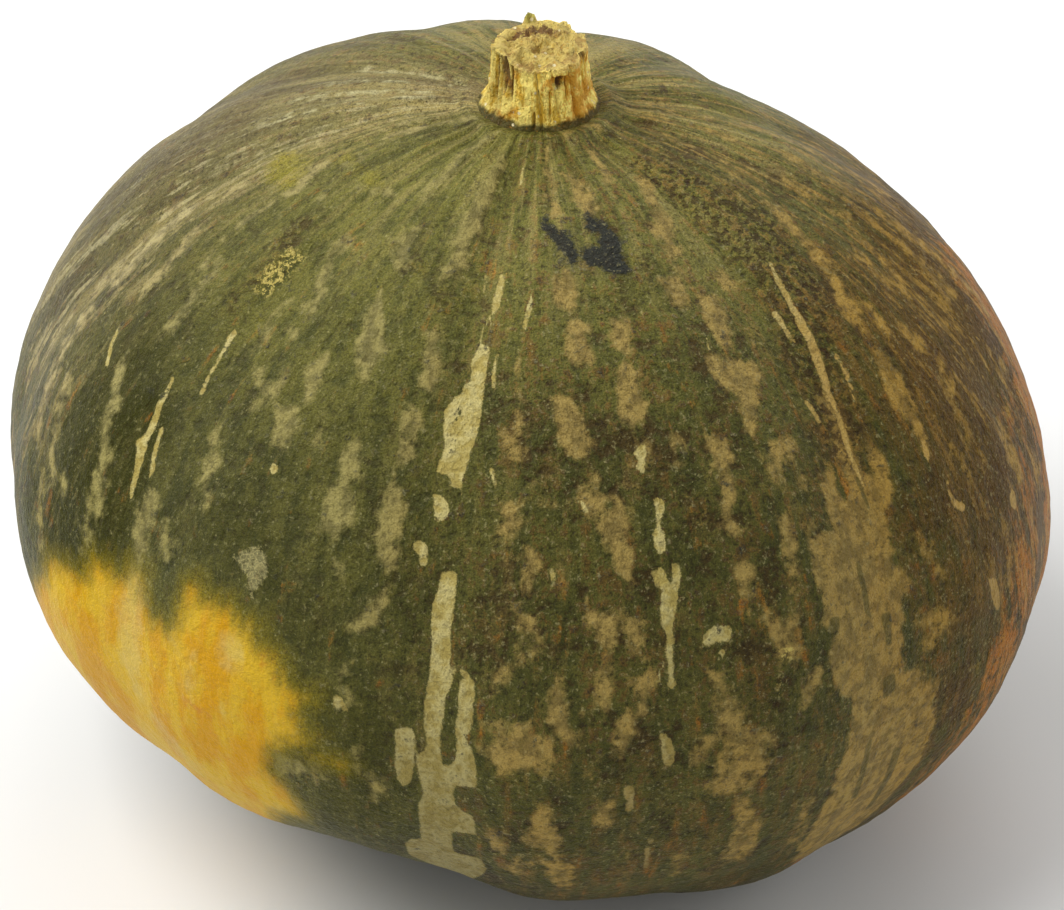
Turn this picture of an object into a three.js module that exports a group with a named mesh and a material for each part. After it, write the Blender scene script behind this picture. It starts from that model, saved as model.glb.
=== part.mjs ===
/**
 * Kabocha squash: the whole fruit as picked, with the corky stub of its stalk.
 *
 * Millimetres, +Z up. The fruit rests on a flat ring round its blossom end, and the origin is
 * the middle of the footprint on the surface it rests on. Azimuth 0 is the side towards -Y and
 * grows towards +X; latitude 0 is the widest level and 90 degrees is the crown.
 */
import * as THREE from 'three';

// ---- Driving dimensions -------------------------------------------------------------------

// The globe. A roundness of 2 is an ellipse; less is more pointed, more is squarer.
const WAIST_RADIUS = 90;
const CROWN = { rise: 72.5, roundness: 1.95 };
const BELLY = { drop: 60.5, roundness: 2.05 };

// How it departs from the globe: each flat takes up to `depth` off the radius (a negative depth
// is a swelling) and fades over `spread` degrees from its centre.
const FLATS = [
  { name: 'side it lay on', azimuth: -59, latitude: -36, spread: 33, depth: 3.4 },
  { name: 'hollow beside it', azimuth: -24, latitude: -27, spread: 12, depth: 4.9 },
  { name: 'low right swelling', azimuth: 44, latitude: -39, spread: 21, depth: -5.0 },
  { name: 'right cheek', azimuth: 95, latitude: 10, spread: 18, depth: 3.9 },
  { name: 'right shoulder', azimuth: 129, latitude: 35, spread: 30, depth: 6.2 },
  { name: 'left shoulder swelling', azimuth: -124, latitude: 41, spread: 35, depth: -2.8 },
  { name: 'left cheek swelling', azimuth: -94, latitude: 15, spread: 34, depth: -1.7 },
];

// The shallow grooves between the lobes, which run from the stalk to the blossom end.
const GROOVES = [
  { azimuth: -156, depth: 1.3 },
  { azimuth: -120, depth: 1.3 },
  { azimuth: -84, depth: 1.4 },
  { azimuth: -48, depth: 1.2 },
  { azimuth: -11, depth: 1.7 },
  { azimuth: 13, depth: 0.6 },
  { azimuth: 41, depth: 1.7 },
  { azimuth: 72, depth: 1.2 },
  { azimuth: 106, depth: 1.4 },
  { azimuth: 142, depth: 1.3 },
  { azimuth: 176, depth: 1.2 },
];
const GROOVE_SPREAD = 7;

// Crown: a shallow hollow, and in its middle the flat seat that the stalk grew from.
const CROWN_HOLLOW = { depth: 2.2, spread: 16 };
const SEAT = { radius: 11.8, height: 126.8, blendRadius: 16 };

// Underside: the belly is flattened where it rests, with the blossom-end hollow in the middle.
const REST = { drop: 56.5, rounding: 1.5 };
const BLOSSOM_HOLLOW = { radius: 15, depth: 2.2 };

// Stalk stub: flares at the foot, furrowed along its length, cut across with a ragged rim.
const STALK = { footRadius: 10.2, rimRadius: 7.6, flareHeight: 4.2, height: 11.3 };
const FURROWS = { count: 12, depth: 0.35 };
const RIM = { width: 1.7, craterDepth: 1.5 };
const RIM_HEIGHTS = [
  { name: 'torn fibre', azimuth: -168, spread: 6, lift: 2.3 },
  { name: 'back hump', azimuth: 168, spread: 22, lift: 0.7 },
  { name: 'broken front', azimuth: 22, spread: 34, lift: -1.3 },
];

// How finely each solid is divided.
const FRUIT_AROUND = 90;
const STALK_AROUND = 60;
const FLANK_STEP = 5;

// ---- Shape formulas -----------------------------------------------------------------------

const radians = THREE.MathUtils.degToRad;
const degrees = THREE.MathUtils.radToDeg;

/** A bell that is 1 at an offset of zero and falls off over `spread`. */
function bell(offset, spread) {
  return Math.exp(-((offset / spread) ** 2));
}

/** The shortest turn in degrees between two azimuths. */
function turnBetween(a, b) {
  return ((a - b + 540) % 360 + 360) % 360 - 180;
}

/** The unit vector at an azimuth and a latitude in degrees. */
function directionAt(azimuth, latitude) {
  const a = radians(azimuth);
  const l = radians(latitude);
  return new THREE.Vector3(Math.sin(a) * Math.cos(l), -Math.cos(a) * Math.cos(l), Math.sin(l));
}

/** Distance from the centre to the globe before flats and grooves. */
function globeRadius(latitude) {
  const l = radians(Math.abs(latitude));
  const reach = latitude >= 0 ? CROWN.rise : BELLY.drop;
  const roundness = latitude >= 0 ? CROWN.roundness : BELLY.roundness;
  const across = (Math.cos(l) / WAIST_RADIUS) ** roundness;
  const up = (Math.sin(l) / reach) ** roundness;
  return (across + up) ** (-1 / roundness);
}

/** How far all flats and swellings together lower the skin. */
function flatDepth(azimuth, latitude) {
  const direction = directionAt(azimuth, latitude);
  let depth = 0;
  for (const flat of FLATS) {
    const away = degrees(direction.angleTo(directionAt(flat.azimuth, flat.latitude)));
    depth += flat.depth * bell(away, flat.spread);
  }
  return depth;
}

/** How far the lobe grooves lower the skin; they run out at the crown and the blossom end. */
function grooveDepth(azimuth, latitude) {
  const fade = Math.sqrt(Math.max(Math.cos(radians(latitude)), 0));
  let depth = 0;
  for (const groove of GROOVES) {
    depth += groove.depth * bell(turnBetween(azimuth, groove.azimuth), GROOVE_SPREAD);
  }
  return depth * fade;
}

/** Height above the rest plane, flat at zero and rounded over where the belly leaves it. */
function restedHeight(height) {
  if (height <= -REST.rounding) {
    return 0;
  }
  if (height >= REST.rounding) {
    return height;
  }
  return (height + REST.rounding) ** 2 / (4 * REST.rounding);
}

/** How high the blossom-end hollow lifts the underside at a radius from the axis. */
function blossomLift(radius) {
  const share = Math.min(radius / BLOSSOM_HOLLOW.radius, 1);
  return BLOSSOM_HOLLOW.depth * (1 - share ** 2) ** 2;
}

/** A point on the fruit's skin. */
function skinPoint(azimuth, latitude) {
  const hollow = CROWN_HOLLOW.depth * bell(90 - latitude, CROWN_HOLLOW.spread);
  const reach =
    globeRadius(latitude) - flatDepth(azimuth, latitude) - grooveDepth(azimuth, latitude) - hollow;
  const radius = Math.abs(latitude) === 90 ? 0 : reach * Math.cos(radians(latitude));
  let height = reach * Math.sin(radians(latitude)) + REST.drop;
  if (latitude > 0) {
    const open = THREE.MathUtils.smoothstep(radius, SEAT.radius, SEAT.blendRadius);
    height = THREE.MathUtils.lerp(SEAT.height, height, open);
  } else {
    height = restedHeight(height) + blossomLift(radius);
  }
  const a = radians(azimuth);
  return new THREE.Vector3(radius * Math.sin(a), -radius * Math.cos(a), height);
}

/** Radius of the stalk's side at a height over the seat. */
function stalkRadius(height) {
  const flare = Math.exp(-height / STALK.flareHeight);
  return STALK.rimRadius + (STALK.footRadius - STALK.rimRadius) * flare;
}

/** How far the ragged rim stands above or below the cut at an azimuth. */
function rimLift(azimuth) {
  let lift = 0;
  for (const part of RIM_HEIGHTS) {
    lift += part.lift * bell(turnBetween(azimuth, part.azimuth), part.spread);
  }
  return lift;
}

/** A point on the stalk: a point of its plain profile, furrowed and with the rim made ragged. */
function stalkPoint(azimuth, profilePoint) {
  const { x: plainRadius, y: plainHeight } = profilePoint;
  const outer = plainRadius > STALK.rimRadius - RIM.width / 2 ? 1 : 0;
  const furrow = FURROWS.depth * Math.cos(radians(azimuth) * FURROWS.count) * outer;
  const rise = plainRadius > 0 ? (plainHeight / STALK.height) ** 4 * outer : 0;
  const radius = plainRadius + furrow;
  const height = plainHeight + rimLift(azimuth) * rise;
  const a = radians(azimuth);
  return new THREE.Vector3(radius * Math.sin(a), -radius * Math.cos(a), height);
}

// ---- Solids -------------------------------------------------------------------------------

/** Spins a profile about +Z and moves each of its points to place(azimuth, profile point). */
function spun(profile, around, place) {
  const geometry = new THREE.LatheGeometry(profile, around);
  const position = geometry.getAttribute('position');
  for (let i = 0; i <= around; i++) {
    const azimuth = (360 * (i % around)) / around;
    for (let j = 0; j < profile.length; j++) {
      const point = place(azimuth, profile[j]);
      position.setXYZ(i * profile.length + j, point.x, point.y, point.z);
    }
  }
  geometry.computeVertexNormals();
  return geometry;
}

/** The fruit, from the blossom end up to the seat of the stalk. */
function makeFruit() {
  const latitudes = [-90, -83, -75.8, -71.5, -67, -62, -57.5];
  for (let latitude = -53; latitude < 80; latitude += FLANK_STEP) {
    latitudes.push(latitude);
  }
  latitudes.push(80.6, 90);
  const profile = latitudes.map((latitude) => {
    const l = radians(latitude);
    return new THREE.Vector2(Math.cos(l), Math.sin(l));
  });
  const geometry = spun(profile, FRUIT_AROUND, (azimuth, point) =>
    skinPoint(azimuth, latitudes[profile.indexOf(point)]));
  const rind = new THREE.MeshStandardMaterial({ color: 0x4e5131, roughness: 0.5, metalness: 0 });
  const fruit = new THREE.Mesh(geometry, rind);
  fruit.name = 'fruit';
  return fruit;
}

/** The corky stub of the stalk, standing on the seat. */
function makeStem() {
  const floorHeight = STALK.height - RIM.craterDepth;
  const profile = [new THREE.Vector2(0, 0)];
  for (const share of [0, 0.08, 0.2, 0.35, 0.5, 0.65, 0.8, 0.92]) {
    const height = share * STALK.height;
    profile.push(new THREE.Vector2(stalkRadius(height), height));
  }
  profile.push(new THREE.Vector2(STALK.rimRadius - 0.2 * RIM.width, STALK.height));
  profile.push(new THREE.Vector2(STALK.rimRadius - RIM.width, floorHeight));
  profile.push(new THREE.Vector2(0, floorHeight));
  const geometry = spun(profile, STALK_AROUND, stalkPoint);
  geometry.translate(0, 0, SEAT.height);
  const cork = new THREE.MeshStandardMaterial({ color: 0xb8954a, roughness: 0.85, metalness: 0 });
  const stem = new THREE.Mesh(geometry, cork);
  stem.name = 'stem';
  return stem;
}

// ---- Assembly -----------------------------------------------------------------------------

const squash = new THREE.Group();
squash.name = 'kabocha_squash';
squash.add(makeFruit(), makeStem());

// The origin is the middle of the footprint, at the height of the surface it rests on.
const middle = new THREE.Box3().setFromObject(squash).getCenter(new THREE.Vector3());
for (const piece of squash.children) {
  piece.position.set(-middle.x, -middle.y, 0);
}

export default squash;
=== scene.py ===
"""Looks of the kabocha squash: the sculpted rind, the corky stalk and a plain studio."""
import logging
import math
from dataclasses import dataclass
from enum import Enum

import bpy
import numpy as np
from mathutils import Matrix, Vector, noise


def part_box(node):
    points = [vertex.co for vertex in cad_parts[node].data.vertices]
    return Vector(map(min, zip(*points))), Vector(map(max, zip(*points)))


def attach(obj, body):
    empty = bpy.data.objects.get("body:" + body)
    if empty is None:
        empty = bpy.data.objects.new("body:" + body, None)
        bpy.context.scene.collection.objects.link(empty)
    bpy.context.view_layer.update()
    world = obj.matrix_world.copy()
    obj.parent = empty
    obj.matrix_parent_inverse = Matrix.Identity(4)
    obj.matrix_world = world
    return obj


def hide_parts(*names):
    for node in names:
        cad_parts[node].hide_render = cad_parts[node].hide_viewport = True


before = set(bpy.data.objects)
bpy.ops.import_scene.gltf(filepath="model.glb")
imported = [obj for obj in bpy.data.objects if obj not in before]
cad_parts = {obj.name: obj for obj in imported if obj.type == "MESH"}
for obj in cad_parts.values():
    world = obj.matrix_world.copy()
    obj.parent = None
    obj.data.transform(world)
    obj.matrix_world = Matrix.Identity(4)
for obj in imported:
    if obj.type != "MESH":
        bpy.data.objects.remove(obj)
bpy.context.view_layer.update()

log = logging.getLogger("squash")

MM = 0.001
WAIST_RADIUS = 90.0
SEAT_HEIGHT = 126.8
CAMERA_HEIGHT = 33.6
MM_PER_DEGREE = math.radians(1.0) * WAIST_RADIUS
FAR = 1e3
TINY = 1e-9


# ---- Small helpers ------------------------------------------------------------------------


def bell(offset: np.ndarray, spread: float) -> np.ndarray:
    """Returns 1 at an offset of zero, falling off over `spread`."""
    return np.exp(-((offset / spread) ** 2))


def turn_between(a: np.ndarray, b: float) -> np.ndarray:
    """Returns the shortest turn in degrees from azimuth `b` to azimuths `a`."""
    return (a - b + 180.0) % 360.0 - 180.0


def fan(azimuth: np.ndarray, middle: float, spread: float) -> np.ndarray:
    """Returns 1 at an azimuth of `middle`, falling off over `spread` degrees."""
    return bell(turn_between(azimuth, middle), spread)


def ease(low: float, high: float, value: np.ndarray) -> np.ndarray:
    """Returns a smooth rise from 0 at `low` to 1 at `high`."""
    share = np.clip((value - low) / (high - low), 0.0, 1.0)
    return share * share * (3.0 - 2.0 * share)


def directions(azimuth: np.ndarray, latitude: np.ndarray) -> np.ndarray:
    """Returns unit vectors at azimuths and latitudes in degrees; azimuth 0 is -Y."""
    a, l = np.radians(azimuth), np.radians(latitude)
    return np.stack([np.sin(a) * np.cos(l), -np.cos(a) * np.cos(l), np.sin(l)], axis=-1)


def round_axis(azimuth: np.ndarray, radius: np.ndarray, height: np.ndarray) -> np.ndarray:
    """Returns points at azimuths in degrees, radii and heights about an upright axis."""
    a = np.radians(azimuth)
    return np.stack([radius * np.sin(a), -radius * np.cos(a), height], axis=-1)


def lumps(points: np.ndarray, size: float, octaves: int = 3) -> np.ndarray:
    """Samples soft fractal noise at points.

    Args:
        points: Positions in millimetres, one row each.
        size: Size of the largest lumps, in millimetres.
        octaves: How many finer layers are added.

    Returns:
        One value per point, roughly between -1 and 1.
    """
    return np.array([noise.fractal(Vector(p), 1.0, 2.0, octaves) for p in points / size])


def linear(channel: int) -> float:
    """Turns one 8-bit channel of a display colour into linear light."""
    share = channel / 255.0
    return share / 12.92 if share <= 0.04045 else ((share + 0.055) / 1.055) ** 2.4


def srgb(red: int, green: int, blue: int) -> tuple[float, float, float, float]:
    """Turns an 8-bit display colour into the linear colour that shaders take."""
    return (linear(red), linear(green), linear(blue), 1.0)


def deselect_all() -> None:
    """Leaves object mode with nothing selected, so an operator acts on new work only."""
    if bpy.context.object and bpy.context.object.mode != "OBJECT":
        bpy.ops.object.mode_set(mode="OBJECT")
    bpy.ops.object.select_all(action="DESELECT")


def read_points(piece: bpy.types.Object) -> np.ndarray:
    """Returns a piece's vertices in millimetres, one row each.

    Args:
        piece: A mesh object.

    Returns:
        One x, y, z row per vertex.
    """
    flat = np.empty(len(piece.data.vertices) * 3)
    piece.data.vertices.foreach_get("co", flat)
    return flat.reshape(-1, 3) / MM


def write_points(piece: bpy.types.Object, points: np.ndarray) -> None:
    """Moves a piece's vertices to points given in millimetres."""
    piece.data.vertices.foreach_set("co", (points * MM).ravel())
    piece.data.update()


def store(piece: bpy.types.Object, name: str, values: np.ndarray) -> None:
    """Keeps one number, or one vector, per vertex for the piece's finish to read.

    Args:
        piece: A mesh object.
        name: The attribute's name.
        values: One number or vector per vertex.
    """
    kind = "FLOAT_VECTOR" if values.ndim == 2 else "FLOAT"
    layer = piece.data.attributes.new(name, kind, "POINT")
    layer.data.foreach_set("vector" if values.ndim == 2 else "value", values.ravel())


# ---- Shape of the fruit, in millimetres ---------------------------------------------------


@dataclass(frozen=True)
class Flat:
    """A broad flat, or a swelling where its depth is negative."""

    name: str
    azimuth: float
    latitude: float
    spread: float
    depth: float


@dataclass(frozen=True)
class Groove:
    """A shallow groove between two lobes, from the stalk to the blossom end."""

    azimuth: float
    depth: float


@dataclass(frozen=True)
class FruitShape:
    """The grown form of the fruit, in its own frame about its axis.

    Heights are above the plane that it rests on.
    """

    waist_radius: float = WAIST_RADIUS
    crown_rise: float = 72.5
    crown_roundness: float = 1.95
    belly_drop: float = 60.5
    belly_roundness: float = 2.05
    groove_spread: float = 7.0
    crown_hollow: float = 2.2
    crown_hollow_spread: float = 16.0
    seat_radius: float = 11.8
    seat_blend_radius: float = 16.0
    seat_height: float = SEAT_HEIGHT
    collar_height: float = 0.9
    collar_spread: float = 1.8
    pleat_height: float = 0.26
    pleat_reach: float = 17.0
    rest_drop: float = 56.5
    rest_rounding: float = 1.5
    blossom_radius: float = 15.0
    blossom_depth: float = 2.2
    flats: tuple[Flat, ...] = (
        Flat("side it lay on", -59, -36, 33, 3.4),
        Flat("hollow beside it", -24, -27, 12, 4.9),
        Flat("low right swelling", 44, -39, 21, -5.0),
        Flat("right cheek", 95, 10, 18, 3.9),
        Flat("right shoulder", 129, 35, 30, 6.2),
        Flat("left shoulder swelling", -124, 41, 35, -2.8),
        Flat("left cheek swelling", -94, 15, 34, -1.7),
    )
    grooves: tuple[Groove, ...] = (
        Groove(-156, 1.3), Groove(-120, 1.3), Groove(-84, 1.4), Groove(-48, 1.2),
        Groove(-11, 1.7), Groove(13, 0.6), Groove(41, 1.7), Groove(72, 1.2),
        Groove(106, 1.4), Groove(142, 1.3), Groove(176, 1.2),
    )

    def globe_radius(self, latitude: np.ndarray) -> np.ndarray:
        """Returns the distance from the centre to the plain globe.

        Args:
            latitude: Degrees above the widest level.

        Returns:
            Millimetres at each latitude.
        """
        across, up = np.cos(np.radians(latitude)), np.abs(np.sin(np.radians(latitude)))
        across = np.clip(across, 0.0, 1.0)

        def globe(reach: float, roundness: float) -> np.ndarray:
            """Returns the distance to one half of the globe, `reach` tall on the axis."""
            total = (across / self.waist_radius) ** roundness + (up / reach) ** roundness
            return total ** (-1.0 / roundness)

        crown = globe(self.crown_rise, self.crown_roundness)
        belly = globe(self.belly_drop, self.belly_roundness)
        return np.where(latitude >= 0, crown, belly)

    def flat_depth(self, azimuth: np.ndarray, latitude: np.ndarray) -> np.ndarray:
        """Returns how far all the flats and swellings lower the skin.

        Args:
            azimuth: Degrees round the axis.
            latitude: Degrees above the widest level.

        Returns:
            Millimetres, below zero for a swelling.
        """
        way = directions(azimuth, latitude)
        depth = np.zeros_like(azimuth)
        for flat in self.flats:
            centre = directions(np.array(flat.azimuth), np.array(flat.latitude))
            away = np.degrees(np.arccos(np.clip(way @ centre, -1.0, 1.0)))
            depth += flat.depth * bell(away, flat.spread)
        return depth

    def groove_depth(self, azimuth: np.ndarray, latitude: np.ndarray) -> np.ndarray:
        """Returns how far the lobe grooves lower the skin.

        Args:
            azimuth: Degrees round the axis.
            latitude: Degrees above the widest level.

        Returns:
            Millimetres at each place.
        """
        fade = np.sqrt(np.clip(np.cos(np.radians(latitude)), 0.0, 1.0))
        depth = np.zeros_like(azimuth)
        for groove in self.grooves:
            depth += groove.depth * fan(azimuth, groove.azimuth, self.groove_spread)
        return depth * fade

    def pleats(self, azimuth: np.ndarray, latitude: np.ndarray) -> np.ndarray:
        """Returns the fine radial pleats that run out from the stalk.

        Args:
            azimuth: Degrees round the axis.
            latitude: Degrees above the widest level.

        Returns:
            Millimetres at each place.
        """
        a = np.radians(azimuth)
        wave = 0.5 * np.sin(37 * a + 0.6) + 0.4 * np.sin(53 * a + 2.1) + 0.35 * np.sin(24 * a + 4.0)
        colatitude = 90.0 - latitude
        beyond = np.maximum(colatitude - 9.0, 0.0)
        reach = ease(4.0, 9.0, colatitude) * bell(beyond, self.pleat_reach)
        return self.pleat_height * wave * reach

    def rested(self, height: np.ndarray) -> np.ndarray:
        """Returns heights flattened onto the rest plane, rounded where the belly leaves it.

        Args:
            height: Millimetres above the rest plane.

        Returns:
            The heights, none of them below zero.
        """
        rounding = self.rest_rounding
        rounded = (height + rounding) ** 2 / (4.0 * rounding)
        return np.where(height <= -rounding, 0.0, np.where(height >= rounding, height, rounded))

    def skin(self, azimuth: np.ndarray, latitude: np.ndarray, relief: np.ndarray) -> np.ndarray:
        """Finds points on the skin.

        Args:
            azimuth: Degrees round the axis, 0 at -Y and growing towards +X.
            latitude: Degrees above the widest level.
            relief: Fine relief to add along the way out from the centre.

        Returns:
            One point per row, about the fruit's own axis.
        """
        hollow = self.crown_hollow * bell(90.0 - latitude, self.crown_hollow_spread)
        reach = self.globe_radius(latitude) - self.flat_depth(azimuth, latitude) - hollow
        reach = reach - self.groove_depth(azimuth, latitude) + relief
        radius = reach * np.clip(np.cos(np.radians(latitude)), 0.0, 1.0)
        height = reach * np.sin(np.radians(latitude)) + self.rest_drop
        swell = bell(radius - self.seat_radius, self.collar_spread)
        collar = self.seat_height + self.collar_height * swell
        seated = collar + (height - collar) * ease(self.seat_radius, self.seat_blend_radius, radius)
        share = np.clip(radius / self.blossom_radius, 0.0, 1.0)
        rested = self.rested(height) + self.blossom_depth * (1.0 - share ** 2) ** 2
        return round_axis(azimuth, radius, np.where(latitude > 0, seated, rested))


# ---- Marks on the rind, placed in degrees of azimuth and latitude -------------------------


class MarkKind(Enum):
    """What a mark on the rind is; each value is the attribute that carries it."""

    CREAM = "cream"
    FLECK = "fleck"
    GROUND = "ground"
    SMUDGE = "smudge"
    ROUGH = "rough"
    SCAB = "scab"
    CRUST = "crust"
    ORANGE = "orange"
    LIME = "lime"
    DARK = "dark"
    PAINTED_SHADE = "painted_shade"


Station = tuple[float, float, float]
Corner = tuple[float, float]


@dataclass(frozen=True)
class Line:
    """A mark along a path of (azimuth, latitude, width) stations, all in degrees."""

    path: tuple[Station, ...]
    strength: float = 1.0

    def distance(self, azimuth: np.ndarray, latitude: np.ndarray) -> np.ndarray:
        """Returns the distance in millimetres outside the mark's edge, negative inside.

        Args:
            azimuth: Degrees round the axis.
            latitude: Degrees above the widest level.

        Returns:
            One distance per place.
        """
        narrow = np.cos(np.radians(latitude)) * MM_PER_DEGREE
        best = np.full_like(azimuth, FAR)
        for (a0, l0, w0), (a1, l1, w1) in zip(self.path, self.path[1:]):
            x = turn_between(azimuth, a0) * narrow
            y = (latitude - l0) * MM_PER_DEGREE
            dx = (a1 - a0) * narrow
            dy = (l1 - l0) * MM_PER_DEGREE
            share = np.clip((x * dx + y * dy) / (dx * dx + dy * dy + TINY), 0.0, 1.0)
            half = 0.5 * (w0 + (w1 - w0) * share) * narrow
            gap = np.hypot(x - share * dx, y - share * dy) - half
            best = np.minimum(best, gap)
        return best


@dataclass(frozen=True)
class Patch:
    """A mark with an outline of (azimuth, latitude) corners, in degrees."""

    corners: tuple[Corner, ...]
    strength: float = 1.0

    def distance(self, azimuth: np.ndarray, latitude: np.ndarray) -> np.ndarray:
        """Returns the distance in millimetres outside the outline, negative inside.

        Args:
            azimuth: Degrees round the axis.
            latitude: Degrees above the widest level.

        Returns:
            One distance per place.
        """
        middle = sum(corner[1] for corner in self.corners) / len(self.corners)
        narrow = math.cos(math.radians(middle)) * MM_PER_DEGREE
        first = self.corners[0][0]
        x = turn_between(azimuth, first) * narrow
        y = latitude * MM_PER_DEGREE
        best = np.full_like(azimuth, FAR)
        inside = np.zeros(azimuth.shape, dtype=bool)
        for (a0, l0), (a1, l1) in zip(self.corners, self.corners[1:] + self.corners[:1]):
            x0, y0 = (a0 - first) * narrow, l0 * MM_PER_DEGREE
            dx, dy = (a1 - a0) * narrow, (l1 - l0) * MM_PER_DEGREE
            along = ((x - x0) * dx + (y - y0) * dy) / (dx * dx + dy * dy + TINY)
            share = np.clip(along, 0, 1)
            best = np.minimum(best, np.hypot(x - x0 - share * dx, y - y0 - share * dy))
            if dy:
                inside ^= ((y0 > y) != (y0 + dy > y)) & (x < x0 + dx * (y - y0) / dy)
        return np.where(inside, -best, best)


Mark = Line | Patch


def band(*stations: Station, strength: float = 1.0) -> Line:
    """Returns a mark along a path."""
    return Line(stations, strength)


def area(*corners: Corner, strength: float = 1.0) -> Patch:
    """Returns a mark with a given outline."""
    return Patch(corners, strength)


def fleck(azimuth: float, top: float, bottom: float, width: float, lean: float = 0.0,
          strength: float = 0.7) -> Line:
    """Makes a soft tan fleck that stands along the meridian.

    Args:
        azimuth: Azimuth of its middle.
        top: Latitude of its upper end.
        bottom: Latitude of its lower end.
        width: Its width in degrees of azimuth.
        lean: How far the azimuth of its lower end lies beyond that of its upper end.
        strength: How plainly it shows, from 0 to 1.

    Returns:
        The mark, whose ends are drawn in by half its width so that it keeps its length.
    """
    tuck = min(0.4 * width, 0.45 * (top - bottom))
    upper = (azimuth - lean / 2, top - tuck, width)
    lower = (azimuth + lean / 2, bottom + tuck, width)
    return Line((upper, lower), strength)


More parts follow.
